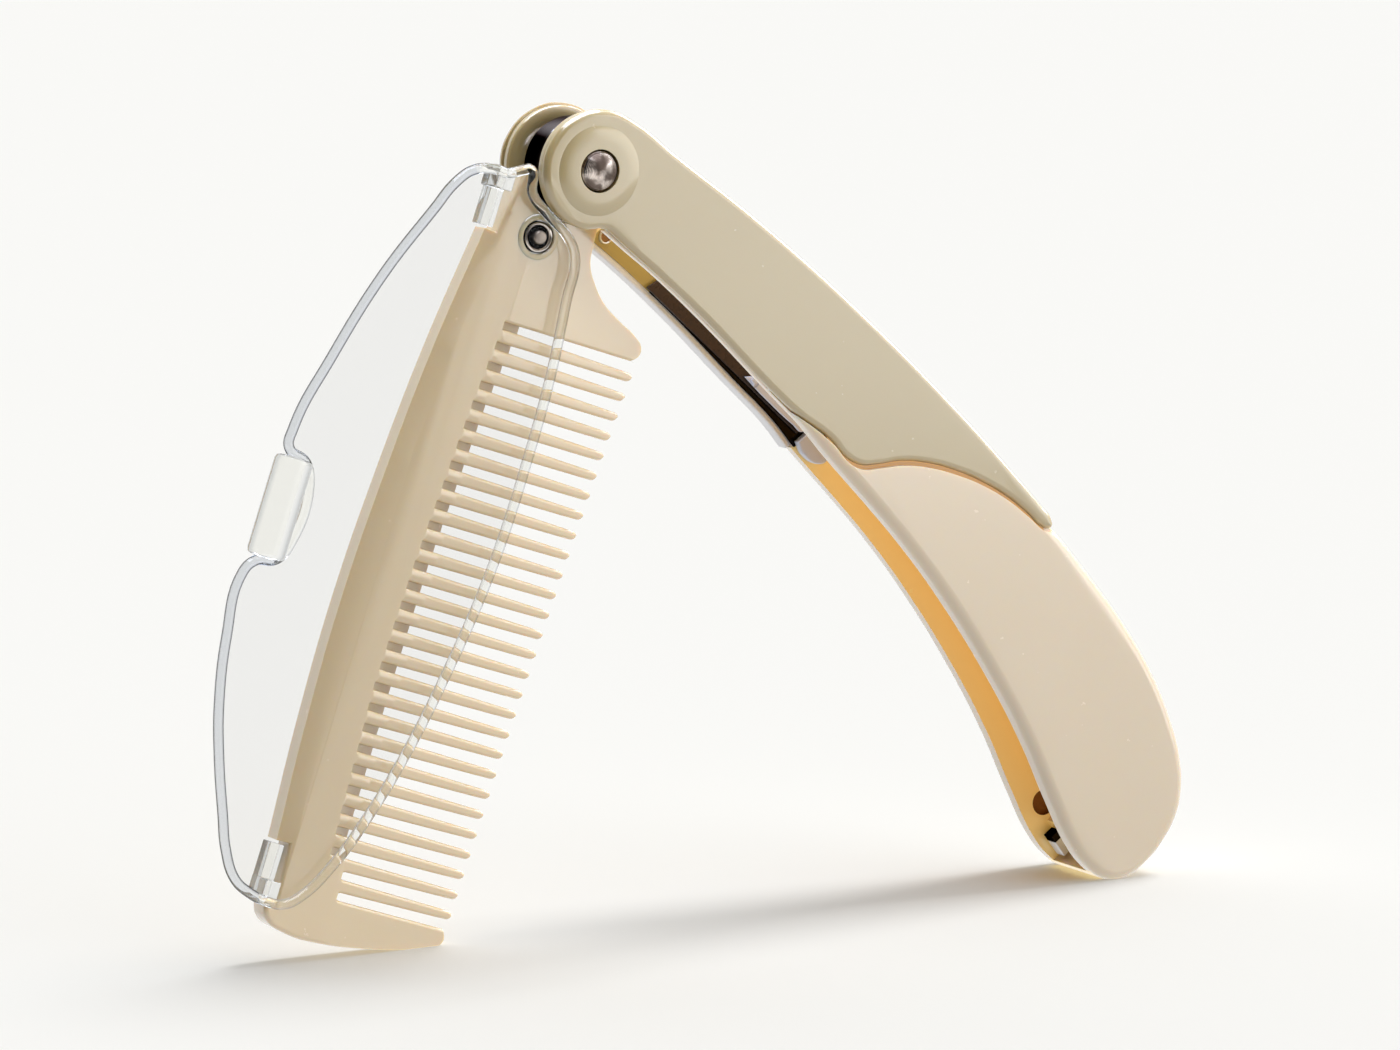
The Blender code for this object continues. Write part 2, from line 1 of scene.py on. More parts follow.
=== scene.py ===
# %% [markdown]
# # A folding pocket comb, standing open like a roof
# The comb and its handle are two halves that turn on one rivet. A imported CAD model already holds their
# true sizes and places. This lesson loads it, keeps what moves on what, and rebuilds each visible piece
# with the soft moulded edges, the clear shield and the polished steel that the eye looks for.

import math

import bmesh
import bpy
from mathutils import Matrix, Vector


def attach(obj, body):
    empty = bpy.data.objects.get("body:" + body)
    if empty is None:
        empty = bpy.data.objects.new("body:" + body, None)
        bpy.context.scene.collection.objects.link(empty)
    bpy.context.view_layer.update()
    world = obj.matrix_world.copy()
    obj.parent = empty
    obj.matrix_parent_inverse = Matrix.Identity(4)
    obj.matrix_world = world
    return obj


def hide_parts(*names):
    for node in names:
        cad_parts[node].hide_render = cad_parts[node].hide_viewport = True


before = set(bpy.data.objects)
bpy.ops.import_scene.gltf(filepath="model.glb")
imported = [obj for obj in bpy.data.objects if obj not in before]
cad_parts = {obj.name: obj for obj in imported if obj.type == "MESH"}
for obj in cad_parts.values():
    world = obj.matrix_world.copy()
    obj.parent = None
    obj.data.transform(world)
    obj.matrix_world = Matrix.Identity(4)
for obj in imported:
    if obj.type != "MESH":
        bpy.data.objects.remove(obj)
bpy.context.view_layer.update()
MM = 0.001
print("nodes:", len(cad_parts))

# %% [markdown]
# ## Two flat workbenches
# Each half is drawn flat, as a mould maker would draw it: u runs down the half from the pivot, v runs
# across it, and w is its thickness, positive towards the viewer. One matrix then stands it up. Modelling
# flat and turning once at the end is easier than modelling on a slant.

# %% The two benches
PIVOT = Vector((-15.46, 0.0, 84.45))
COMB_ANGLE = -109.3
HANDLE_ANGLE = -53.0


def bench(angle_deg):
    """Matrix that stands a flat-drawn half up at its angle, about the pivot."""
    a = math.radians(angle_deg)
    u = Vector((math.cos(a), 0.0, math.sin(a)))
    v = Vector((-math.sin(a), 0.0, math.cos(a)))
    turn = Matrix((u, v, u.cross(v))).transposed().to_4x4()
    return Matrix.Translation(PIVOT * MM) @ turn


COMB_BENCH = bench(COMB_ANGLE)
HANDLE_BENCH = bench(HANDLE_ANGLE)
# turns a shape drawn over (v, w) so that its length runs along u
ALONG_U = Matrix(((0.0, 0.0, 1.0, 0.0), (1.0, 0.0, 0.0, 0.0), (0.0, 1.0, 0.0, 0.0), (0.0, 0.0, 0.0, 1.0)))
print("comb bench at", [round(x / MM, 2) for x in COMB_BENCH.translation])

# %% [markdown]
# ## Hand tools
# A few helpers do what a hand would do in the window: deselect, add, convert, bevel, cut and join. Flat
# mouldings start as a closed Bezier outline, which Blender fills, thickens and rounds at the rim in one
# go. Solids cut from each other use the Boolean modifier, applied at once.


# %% Selecting, entering edit mode and applying
def alone(obj):
    bpy.ops.object.select_all(action="DESELECT")
    obj.select_set(True)
    bpy.context.view_layer.objects.active = obj
    return obj


def in_edit(obj, work):
    """Runs one or more mesh operators on the whole of an object."""
    alone(obj)
    bpy.ops.object.mode_set(mode="EDIT")
    bpy.ops.mesh.select_all(action="SELECT")
    work()
    bpy.ops.object.mode_set(mode="OBJECT")
    return obj


def close_up(obj, weld=0.00001):
    """Merges doubles and turns every face outwards."""
    def work():
        bpy.ops.mesh.remove_doubles(threshold=weld)
        bpy.ops.mesh.dissolve_degenerate(threshold=weld * 0.1)
        bpy.ops.mesh.normals_make_consistent(inside=False)
    return in_edit(obj, work)


def modifier(obj, kind, **settings):
    alone(obj)
    bpy.ops.object.modifier_add(type=kind)
    step = obj.modifiers[-1]
    for key, value in settings.items():
        setattr(step, key, value)
    bpy.ops.object.modifier_apply(modifier=step.name)
    return obj


def delete(obj):
    alone(obj)
    bpy.ops.object.delete()


def cut(obj, *tools, solver="EXACT"):
    for tool in tools:
        modifier(obj, "BOOLEAN", operation="DIFFERENCE", solver=solver, object=tool)
        delete(tool)
    return obj


def unite(obj, *others, solver="EXACT"):
    for other in others:
        modifier(obj, "BOOLEAN", operation="UNION", solver=solver, object=other)
        delete(other)
    return obj


def join(objs):
    alone(objs[0])
    for other in objs[1:]:
        other.select_set(True)
    bpy.ops.object.join()
    return objs[0]


def shape(obj):
    return f"{obj.name}: {len(obj.data.polygons)} faces"


# %% Flat mouldings from an outline
# an outline is rows of (u, v) for a smooth point, or (u, v, CORNER)
SMOOTH = "AUTO"
CORNER = "VECTOR"


def outline(name, rows, at_w=0.0):
    """Closed Bezier curve through the rows of an outline."""
    bpy.ops.object.select_all(action="DESELECT")
    bpy.ops.curve.primitive_bezier_circle_add(radius=MM, location=(0.0, 0.0, 0.0))
    obj = bpy.context.object
    obj.name = name
    obj.data.splines.clear()
    spline = obj.data.splines.new("BEZIER")
    spline.bezier_points.add(len(rows) - 1)
    for point, (u, v, *kind) in zip(spline.bezier_points, rows):
        point.co = Vector((u, v, at_w)) * MM
        point.handle_left_type = point.handle_right_type = kind[0] if kind else SMOOTH
    spline.use_cyclic_u = True
    return obj.data


def moulding(name, rows, low_w, high_w, rim=0.0, steps=10, rim_steps=4, grow=0.0):
    """Flat solid between two w levels over an outline, with both rims rounded."""
    curve = outline(name, rows)
    curve.dimensions = "2D"
    curve.fill_mode = "BOTH"
    curve.resolution_u = steps
    curve.extrude = (0.5 * (high_w - low_w) - rim) * MM
    curve.offset = (grow - rim) * MM
    curve.bevel_depth = rim * MM
    curve.bevel_resolution = rim_steps
    bpy.ops.object.convert(target="MESH")
    obj = bpy.context.object
    obj.data.transform(Matrix.Translation((0.0, 0.0, 0.5 * (low_w + high_w) * MM)))
    return close_up(obj)


def straight(name, corners, low, high, turn=None):
    """Straight prism over a polygon of plain corners."""
    obj = moulding(name, [(x, y, CORNER) for x, y in corners], low, high, steps=1)
    if turn:
        obj.data.transform(turn)
    return obj


def block(name, low, high, edge=0.0, segments=3):
    """Box between two corners with its edges bevelled."""
    bpy.ops.object.select_all(action="DESELECT")
    bpy.ops.mesh.primitive_cube_add(size=1.0)
    obj = bpy.context.object
    obj.name = name
    size = (Vector(high) - Vector(low)) * MM
    place = Matrix.Translation(0.5 * (Vector(high) + Vector(low)) * MM)
    obj.data.transform(place @ Matrix.Diagonal((*size, 1.0)))
    if edge:
        in_edit(obj, lambda: bpy.ops.mesh.bevel(offset=edge * MM, segments=segments, affect="EDGES"))
    return obj


def drum(name, radius, low_w, high_w, at=(0.0, 0.0), sides=96):
    bpy.ops.object.select_all(action="DESELECT")
    bpy.ops.mesh.primitive_cylinder_add(vertices=sides, radius=radius * MM, depth=(high_w - low_w) * MM)
    obj = bpy.context.object
    obj.name = name
    obj.data.transform(Matrix.Translation(Vector((*at, 0.5 * (low_w + high_w))) * MM))
    return obj


def lathe(name, profile, at=(0.0, 0.0), sides=96):
    """Solid of revolution about w from a profile of (radius, w), spun from a bent wire."""
    bpy.ops.object.select_all(action="DESELECT")
    bpy.ops.mesh.primitive_plane_add(size=1.0)
    obj = bpy.context.object
    obj.name = name
    wire = [(r * MM, 0.0, w * MM) for r, w in profile]
    obj.data.clear_geometry()
    obj.data.from_pydata(wire, [(i, i + 1) for i in range(len(wire) - 1)], [])

    def spin():
        bpy.ops.mesh.spin(steps=sides, angle=2.0 * math.pi, center=(0.0, 0.0, 0.0), axis=(0.0, 0.0, 1.0))
    in_edit(obj, spin)
    close_up(obj)
    obj.data.transform(Matrix.Translation(Vector((*at, 0.0)) * MM))
    return obj


def both_faces(profile):
    """A profile of (radius, w) down one face, carried on down the other."""
    return tuple(profile) + tuple((r, -w) for r, w in reversed(profile))


def loft(name, rings):
    """Closed solid through equal rings of points, capped at both ends."""
    bpy.ops.object.select_all(action="DESELECT")
    bpy.ops.mesh.primitive_plane_add(size=1.0)
    obj = bpy.context.object
    obj.name = name
    count = len(rings[0])
    points = [tuple(c * MM for c in point) for ring in rings for point in ring]
    faces = [tuple(range(count)), tuple(reversed(range(len(points) - count, len(points))))]
    for r in range(len(rings) - 1):
        for i in range(count):
            j = (i + 1) % count
            a, b = r * count, (r + 1) * count
            faces.append((a + j, a + i, b + i, b + j))
    obj.data.clear_geometry()
    obj.data.from_pydata(points, [], faces)
    return in_edit(obj, lambda: bpy.ops.mesh.normals_make_consistent(inside=False))


# %% Finishing a piece
def finish(obj, stand, body, paint, slot, *nodes, sharp=34.0):
    """Stands a piece up, smooths it, paints it and hangs it on its body in place of its CAD nodes."""
    obj.data.transform(stand)
    alone(obj)
    bpy.ops.object.shade_smooth_by_angle(angle=math.radians(sharp))
    modifier(obj, "WEIGHTED_NORMAL", keep_sharp=True, weight=80)
    obj.data.materials.clear()
    obj.data.materials.append(paint)
    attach(obj, body)
    if nodes:
        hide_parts(*nodes)
    print(shape(obj))
    return obj


def on_comb(piece, paint, slot, *nodes):
    return finish(piece, COMB_BENCH, "comb_leaf", paint, slot, *nodes)


def on_handle(piece, paint, slot, *nodes, sharp=34.0):
    return finish(piece, HANDLE_BENCH, "handle", paint, slot, *nodes, sharp=sharp)


def between(rows, u, column=1):
    """Value of a table's column at u, by straight lines between its rows."""
    for low, high in zip(rows, rows[1:]):
        if u <= high[0]:
            share = max(0.0, (u - low[0]) / (high[0] - low[0]))
            return low[column] + share * (high[column] - low[column])
    return rows[-1][column]


# %% [markdown]
# ## Materials
# The two halves are injection moulded in a cream thermoplastic such as ABS. It is slightly milky: light
# goes in, wanders about a millimetre and comes out warmer, so edges and thin walls glow amber. Subsurface
# scattering gives that, and red travels furthest in it. A polished mould leaves a glassy skin, which a coat
# layer over the milky body gives, with a very fine grain in its roughness. It could all be one material,
# but the pieces differ in depth: the comb is thin and the covers are thicker and greener, so each gets its
# own base colour. Other creams are painted light: a brighter gold with a painted glow inside the channel
# and in the S groove, for the light that soaks through the wall, and darker painted shade on the upper
# wall of the channel and in its small recesses.

# %% Colour and node helpers
def colour(hex_code):
    """sRGB hex to the linear colour that a shader takes."""
    parts = [int(hex_code[i:i + 2], 16) / 255.0 for i in (1, 3, 5)]
    linear = [c / 12.92 if c <= 0.04045 else ((c + 0.055) / 1.055) ** 2.4 for c in parts]
    return (*linear, 1.0)


def material(name):
    mat = bpy.data.materials.new(name)
    mat.use_nodes = True
    tree = mat.node_tree
    return mat, tree, tree.nodes["Principled BSDF"]


def node(tree, kind, links=(), **settings):
    """Adds a node; settings name its properties or, with in_, its sockets; links are (socket, output)."""
    made = tree.nodes.new(kind)
    for key, value in settings.items():
        if key.startswith("in_"):
            made.inputs[key[3:].replace("_", " ").title()].default_value = value
        else:
            setattr(made, key, value)
    for socket, output in links:
        tree.links.new(output, made.inputs[socket])
    return made


def set_all(shader, **values):
    for key, value in values.items():
        shader.inputs[key.replace("_", " ")].default_value = value


# faint flow clouds about 17 mm across, and a grain of about 1 mm: coarser than the real polish, so it shows
CLOUD_MM = 50.0 / 3.0
GRAIN_MM = 10.0 / 9.0


def cream_plastic(name, base, deep, milky=0.7, reach_mm=1.5, skin=1.0, glow=0.0):
    """Moulded cream plastic: milky under a glassy skin, with faint flow clouds, a very fine grain and,
    where glow is set, a painted glow.
    """
    mat, tree, shader = material(name)
    place = node(tree, "ShaderNodeTexCoord").outputs["Object"]
    clouds = node(tree, "ShaderNodeTexNoise", [("Vector", place)], in_scale=1000.0 / CLOUD_MM,
                  in_detail=2.0)
    mix = node(tree, "ShaderNodeMix", data_type="RGBA")
    tree.links.new(clouds.outputs["Fac"], mix.inputs["Factor"])
    mix.inputs["A"].default_value = colour(base)
    mix.inputs["B"].default_value = colour(deep)
    tree.links.new(mix.outputs["Result"], shader.inputs["Base Color"])
    grain = node(tree, "ShaderNodeTexNoise", [("Vector", place)], in_scale=1000.0 / GRAIN_MM,
                 in_detail=3.0).outputs["Fac"]
    rough = node(tree, "ShaderNodeMapRange", [("Value", grain)], in_to_min=0.2, in_to_max=0.3)
    tree.links.new(rough.outputs["Result"], shader.inputs["Roughness"])
    bump = node(tree, "ShaderNodeBump", [("Height", grain)], in_strength=0.05, in_distance=0.0001)
    tree.links.new(bump.outputs["Normal"], shader.inputs["Normal"])
    set_all(shader, IOR=1.54, Specular_IOR_Level=1.0)
    set_all(shader, Subsurface_Weight=milky, Subsurface_Scale=reach_mm * MM)
    set_all(shader, Subsurface_Radius=(1.0, 0.62, 0.28))
    set_all(shader, Coat_Weight=skin, Coat_Roughness=0.12, Coat_IOR=1.75)
    if glow:
        # painted glow: emission that stands in for light soaked through the thin wall behind the face
        set_all(shader, Emission_Color=colour("#FFC957"), Emission_Strength=glow)
    return mat


cream = cream_plastic("cream_moulded_plastic", "#DCC59C", "#D8C094", 0.5, 0.9)
cream_cover = cream_plastic("cream_moulded_plastic_cover", "#B29F71", "#AE9A6A", 0.4, 0.9, 0.75)
cream_shell = cream_plastic("cream_moulded_plastic_shell", "#DBC8AA", "#D7C3A2", 0.5, 1.0, 0.9)
# painted light: the channel's gold with a painted glow, painted shade for the upper wall and the recesses,
# and the groove's amber with a painted glow
cream_channel_painted_glow = cream_plastic("cream_plastic_channel_painted_glow", "#FFE2A2", "#FDDE98", 0.0, 1.0, 0.3, 0.095)
cream_painted_shade = cream_plastic("cream_plastic_painted_shade", "#9C8440", "#947C38", 0.0, 1.0, 0.3)
cream_recess_painted_shade = cream_plastic("cream_plastic_recess_painted_shade", "#7E4A14", "#744210", 0.0, 1.0, 0.0)
cream_groove_painted_glow = cream_plastic("cream_plastic_groove_painted_glow", "#DC9C34", "#D2902A", 0.0, 1.0, 0.0, 0.05)
print("creams:", cream.name, cream_cover.name, cream_shell.name)


# %% [markdown]
# The shield is polished clear plastic (acrylic or styrene, IOR 1.49). A round clear bar looks pale where it
# faces the eye and dark where it turns away, because there it bends the darker parts of the room into
# view. Here that dark is painted: a tint that follows the turn, a little for the inner rim and strongly for
# the thicker outer one. The thin sheet between the rims only needs a faint veil, so it is mostly
# see-through and bends nothing.

# %% Clear plastic
def clear_plastic(name, body, painted_edge_tint):
    """Clear moulded plastic: pale where it is faced, with painted dark lines where its round edges turn
    away.
    """
    mat, tree, shader = material(name)
    turned_away = node(tree, "ShaderNodeLayerWeight", in_blend=0.5).outputs["Facing"]
    edge = node(tree, "ShaderNodeMapRange", [("Value", turned_away)], interpolation_type="SMOOTHSTEP",
                in_from_min=0.14, in_from_max=0.55)
    mix = node(tree, "ShaderNodeMix", [("Factor", edge.outputs["Result"])], data_type="RGBA")
    mix.inputs["A"].default_value = colour(body)
    mix.inputs["B"].default_value = colour(painted_edge_tint)
    tree.links.new(mix.outputs["Result"], shader.inputs["Base Color"])
    set_all(shader, Roughness=0.02, IOR=1.49, Transmission_Weight=1.0)
    return mat


def clear_film():
    """The thin clear sheet: nearly all of the light goes straight through, with a faint grey veil."""
    mat, tree, shader = material("clear_moulded_sheet")
    set_all(shader, Base_Color=colour("#44484C"), Roughness=0.04, IOR=1.49, Alpha=0.055)
    return mat


# the second colour of each is the painted dark of the turned-away edges
clear = clear_plastic("clear_moulded_plastic", "#F6F6F2", "#B4B8BC")
clear_rim = clear_plastic("clear_moulded_plastic_outer_rim", "#DDE0E4", "#161C26")
film = clear_film()


# %% [markdown]
# The steels differ in how they were finished. The disc is polished steel of a nearly black colour, with a
# painted highlight on its top for the light it catches from above, the rivet's head keeps the rings of the
# lathe and some dark stain, the stud's pin is grained while its cup is painted shade and its lip a painted
# highlight, the spring plate is tempered brown, and the rail and tongue are brushed. One function makes
# them all: grain sizes are real ones in millimetres, and a lower metal share stands for the matt oxide skin
# of a piece that shows no clear reflection.

# %% Steel
STAIN_MM = 25.0 / 12.0


def steel(name, base, rough_low, rough_high, grain_mm, edge="#FFFFFF", rings_mm=0.0, relief=0.15,
          metal=1.0, stain=None):
    """Steel whose roughness follows its grain; rings_mm adds turning marks, stain adds dark patches."""
    mat, tree, shader = material(name)
    place = node(tree, "ShaderNodeTexCoord").outputs["Object"]
    grain = node(tree, "ShaderNodeTexNoise", [("Vector", place)], in_scale=1000.0 / grain_mm, in_detail=3.0)
    height = grain.outputs["Fac"]
    if rings_mm:
        centred = node(tree, "ShaderNodeMapping", [("Vector", place)], in_location=-PIVOT * MM)
        per_metre = 2.0 * math.pi / (20.0 * rings_mm * MM)
        rings = node(tree, "ShaderNodeTexWave", [("Vector", centred.outputs["Vector"])], wave_type="RINGS",
                     rings_direction="Y", in_scale=per_metre, in_distortion=1.2)
        both = node(tree, "ShaderNodeMath", [(0, height), (1, rings.outputs["Fac"])], operation="ADD")
        height = both.outputs[0]
    rough = node(tree, "ShaderNodeMapRange", [("Value", grain.outputs["Fac"])],
                 in_to_min=rough_low, in_to_max=rough_high)
    tree.links.new(rough.outputs["Result"], shader.inputs["Roughness"])
    bump = node(tree, "ShaderNodeBump", [("Height", height)], in_strength=relief, in_distance=0.00008)
    tree.links.new(bump.outputs["Normal"], shader.inputs["Normal"])
    set_all(shader, Base_Color=colour(base), Metallic=metal, Specular_Tint=colour(edge))
    if stain:
        patches = node(tree, "ShaderNodeTexNoise", [("Vector", place)], in_scale=1000.0 / STAIN_MM,
                       in_detail=4.0).outputs["Fac"]
        mask = node(tree, "ShaderNodeMapRange", [("Value", patches)], interpolation_type="SMOOTHSTEP",
                    in_from_min=0.42, in_from_max=0.58)
        mix = node(tree, "ShaderNodeMix", [("Factor", mask.outputs["Result"])], data_type="RGBA")
        mix.inputs["A"].default_value = colour(stain)
        mix.inputs["B"].default_value = colour(base)
        tree.links.new(mix.outputs["Result"], shader.inputs["Base Color"])
    return mat


def painted_top_highlight(mat, highlight_colour, low_z, high_z):
    """Steel with a painted highlight above a height, for the light that its top catches from above."""
    tree = mat.node_tree
    shader = tree.nodes["Principled BSDF"]
    place = node(tree, "ShaderNodeTexCoord").outputs["Object"]
    up_part = node(tree, "ShaderNodeSeparateXYZ", [("Vector", place)]).outputs["Z"]
    mask = node(tree, "ShaderNodeMapRange", [("Value", up_part)], interpolation_type="SMOOTHSTEP",
                in_from_min=low_z * MM, in_from_max=high_z * MM)
    mix = node(tree, "ShaderNodeMix", [("Factor", mask.outputs["Result"])], data_type="RGBA")
    mix.inputs["A"].default_value = shader.inputs["Base Color"].default_value
    mix.inputs["B"].default_value = colour(highlight_colour)
    tree.links.new(mix.outputs["Result"], shader.inputs["Base Color"])
    return mat


# dark steel, which the black bed in the channel also wears as painted shade
dark_steel = steel("dark_polished_steel_and_painted_shade", "#1E1A18", 0.08, 0.2, 1.0, "#5A5450")
disc_steel = steel("dark_polished_disc_steel", "#1E1A18", 0.08, 0.2, 1.0, "#5A5450")
# painted highlight along the disc's top
disc_steel = painted_top_highlight(disc_steel, "#B4B0B4", 87.6, 89.4)
bright_steel = steel("bright_turned_steel", "#B8AEA6", 0.08, 0.25, 0.4, rings_mm=0.16, relief=0.4,
                     stain="#5E524B")
# painted highlight for the stud's rolled lip, and below it painted shade for its cup
lip_steel_painted_highlight = steel("stud_steel_painted_highlight", "#DCD4CC", 0.08, 0.18, 0.4)
cup_steel_painted_shade = steel("stud_steel_painted_shade", "#120E0C", 0.15, 0.3, 0.4, "#2A2420")
spring_steel = steel("brown_spring_steel", "#40352F", 0.2, 0.35, 1.0, "#8A7C70", metal=0.3)
grained_steel = steel("grained_steel", "#A79C92", 0.3, 0.5, 0.12)
zinc = steel("grey_cast_zinc", "#C4C8D4", 0.3, 0.36, 2.0, metal=0.1, relief=0.0)
rail_steel = steel("bright_brushed_rail", "#D6D6D8", 0.28, 0.32, 2.0, metal=0.3, relief=0.0)
tongue_steel = steel("bright_brushed_tongue", "#C8CEE4", 0.26, 0.32, 2.0, metal=0.3, relief=0.0)
print("steels:", dark_steel.name, bright_steel.name, grained_steel.name, rail_steel.name)

# %% [markdown]
# ## The comb
# The comb is one moulding: a curved spine with a bevel along it, a neck that hollows round the steel
# disc, a horn, 28 thin teeth and a foot. The blank is one outline with a rounded rim. The gaps are cut
# by one kind of tool, whose section flares where it leaves the plastic, so that each tooth comes out
# round, as a mould would leave it. That section changes along the gap, so the cutter is lofted through
# rings of points. Modelling each tooth instead would leave 28 joints to hide at the spine.

# %% Comb outline
COMB_HALF_T = 1.6
TIP_HALF_T = 0.85
THIN_FROM_V = -3.0
COMB_RIM = 0.5
NECK = (
    (4.3, 4.3, CORNER), (5.7, 2.1), (6.1, 0.0), (5.2, -3.1),
    (2.0, -5.75, CORNER), (2.5, -6.5, CORNER), (9.5, -7.6, CORNER),
)
SPINE = (
    (9.5, -8.95, CORNER), (23.5, -10.8), (36.5, -11.9), (52.0, -12.6),
    (66.0, -12.35), (79.1, -11.6, CORNER), (79.1, -10.1, CORNER), (85.9, -9.8, CORNER),
)
FOOT = (
    (86.0, -11.0, CORNER), (87.6, -10.2), (88.6, -7.4), (88.7, -3.2),
    (87.9, 2.9), (86.9, 7.5), (86.0, 10.6), (84.9, 11.7),
)
TIPS = (
    (83.66, 11.3, CORNER), (83.6, 11.75, CORNER), (75.2, 11.95), (66.0, 12.1),
    (50.0, 12.6), (33.8, 13.25), (20.0, 14.1), (18.3, 14.2, CORNER),
)
HEAD = (
    (18.25, 13.3, CORNER), (17.4, 14.05), (16.5, 14.0), (15.6, 12.9),
    (14.4, 10.1), (13.2, 7.8), (11.4, 5.9), (9.7, 4.75),
    (7.6, 4.4),
)
blank = moulding("comb_blank", NECK + SPINE + FOOT + TIPS + HEAD, -COMB_HALF_T, COMB_HALF_T, COMB_RIM)
print(shape(blank))

# %% Thin the teeth and bevel the spine
BEVEL_WIDTH = 2.1
BEVEL_W = 1.12
BEVEL_END_U = 86.5
BEVEL_FADE = 5.0
BEVEL_END_WIDTH = 0.5
TOOTH_END_V = 16.0
ABOVE = 3.0


def half_at(v):
    """Half thickness of the comb at v: full to the roots, then thinner towards the tips."""
    end_t = TIP_HALF_T - 0.1
    share = max(0.0, (v - THIN_FROM_V) / (TOOTH_END_V - THIN_FROM_V))
    return COMB_HALF_T + share * (end_t - COMB_HALF_T)


def thinning(face):
    """Wedge that thins one face from the teeth's roots to beyond their tips."""
    before = 2.0
    near_v, far_v = THIN_FROM_V - before, TOOTH_END_V
    fall = (COMB_HALF_T - half_at(far_v)) / (far_v - THIN_FROM_V)
    near_w = COMB_HALF_T + before * fall
    corners = ((near_v, near_w), (near_v, ABOVE), (far_v, ABOVE), (far_v, half_at(far_v)))
    return straight("thinning", [(v, face * w) for v, w in corners], -5.0, 95.0, ALONG_U)


SPINE_EDGE = (
    (7.0, -8.5), (9.5, -8.95), (16.0, -9.9), (23.5, -10.8), (36.5, -11.9), (44.0, -12.35), (52.0, -12.6),
    (59.0, -12.6), (66.0, -12.35), (73.0, -12.0), (79.1, -11.6), (82.0, -11.35), (86.5, -10.9),
)


def spine_bevel(face):
    """Cutter for the bevel along the spine, which narrows and rises where it runs out at the foot."""
    rise = COMB_HALF_T - BEVEL_W
    rings = []
    for u, v in SPINE_EDGE:
        fade = max(0.0, min(1.0, (BEVEL_END_U - u) / BEVEL_FADE))
        width = BEVEL_END_WIDTH + (BEVEL_WIDTH - BEVEL_END_WIDTH) * fade
        low = BEVEL_W + rise * (1.0 - fade) * 0.7
        step = (COMB_HALF_T - low) / width
        outer, inner, top = v - 1.0, v + width + 0.1, face * (COMB_HALF_T + 1.0)
        rings.append([(u, outer, face * (low - step)), (u, inner, face * (COMB_HALF_T + 0.1 * step)),
                      (u, inner, top), (u, outer, top)])
    return loft("spine_bevel", rings)


cut(blank, thinning(1.0), thinning(-1.0), solver="MANIFOLD")
cut(blank, spine_bevel(1.0), spine_bevel(-1.0))
print(shape(blank))

# %% Slot for the steel tongue, hole for the stud, flat under the foot
NECK_SLOT_HALF_T = 0.85
STUD_U, STUD_V = 8.63, -2.64
STUD_HOLE_R = 2.0
TANG_SLOT = ((3.0, -5.6, -NECK_SLOT_HALF_T), (12.6, 0.6, NECK_SLOT_HALF_T))


def floor_block(stand):
    under = block("under_floor", (-200.0, -200.0, -10.0), (200.0, 200.0, 0.0))
    under.data.transform(stand.inverted())
    return under


cut(blank, block("slot", *TANG_SLOT))
cut(blank, drum("stud_hole", STUD_HOLE_R, -4.0, 4.0, (STUD_U, STUD_V)))
cut(blank, floor_block(COMB_BENCH))
print(shape(blank))

# %% One gap cutter, lofted along the gap
TOOTH_PITCH = 2.297
FIRST_GAP_U = 18.9
GAP_COUNT = 29
PLAIN_GAPS = 2
GAP_HALF_ROOT, GAP_HALF_MID, GAP_HALF_END = 0.44, 0.55, 0.64
TIP_ROUND = 0.55
HORN_U, LOW_HORN_U = 18.28, 83.65
TOOTH_ROUND = 0.4
# where each gap opens through the blank, and where its slope starts: u, v at the middle, v on the face
GAP_ROOTS = (
    (18.9, -0.7, -3.6), (28.0, -1.9, -4.5), (46.0, -2.9, -5.6), (60.0, -3.0, -6.0),
    (78.0, -2.8, -5.2), (83.3, -2.35, -4.6),
)
# the slope at a gap's root: v past its start, half width, w of the bottom
RUN_OUT = ((0.0, 0.22, 1.35), (0.12, 0.34, 1.1), (0.35, 0.4, 0.92))
# a gap's mouth between two round tips: how far back, in tip rounds, and its share of the spread
TIP_SPREAD = ((1.0, 0.0), (0.78, 0.04), (0.5, 0.14), (0.26, 0.32), (0.1, 0.55), (0.0, 1.0), (-4.0, 1.0))
THROUGH_W = -0.1
TIP_LINE = ((20.0, 14.1), (27.0, 13.6), (40.7, 13.0), (59.0, 12.35), (70.6, 12.05), (82.1, 11.85))


def flare(u, side, half, v, low_w, face):
    """One side of the cutter's section at v: up the gap wall, then out along the rounding."""
    top = half_at(v)
    r = min(TOOTH_ROUND, max(0.05, top - low_w - 0.02))
    arc = [math.radians(x) for x in (0, 18, 36, 54, 70)]
    points = [(half, low_w)]
    points += [(half + r * (1.0 - math.cos(a)), top - r + r * math.sin(a)) for a in arc]
    end_u, end_w = points[-1]
    run = math.tan(math.radians(20.0))
    points.append((end_u + (top + 0.25 - end_w) / run * 0.75, top + 0.25))
    points.append((points[-1][0], top + 1.0))
    return [(u + side * x, v, face * w) for x, w in points]


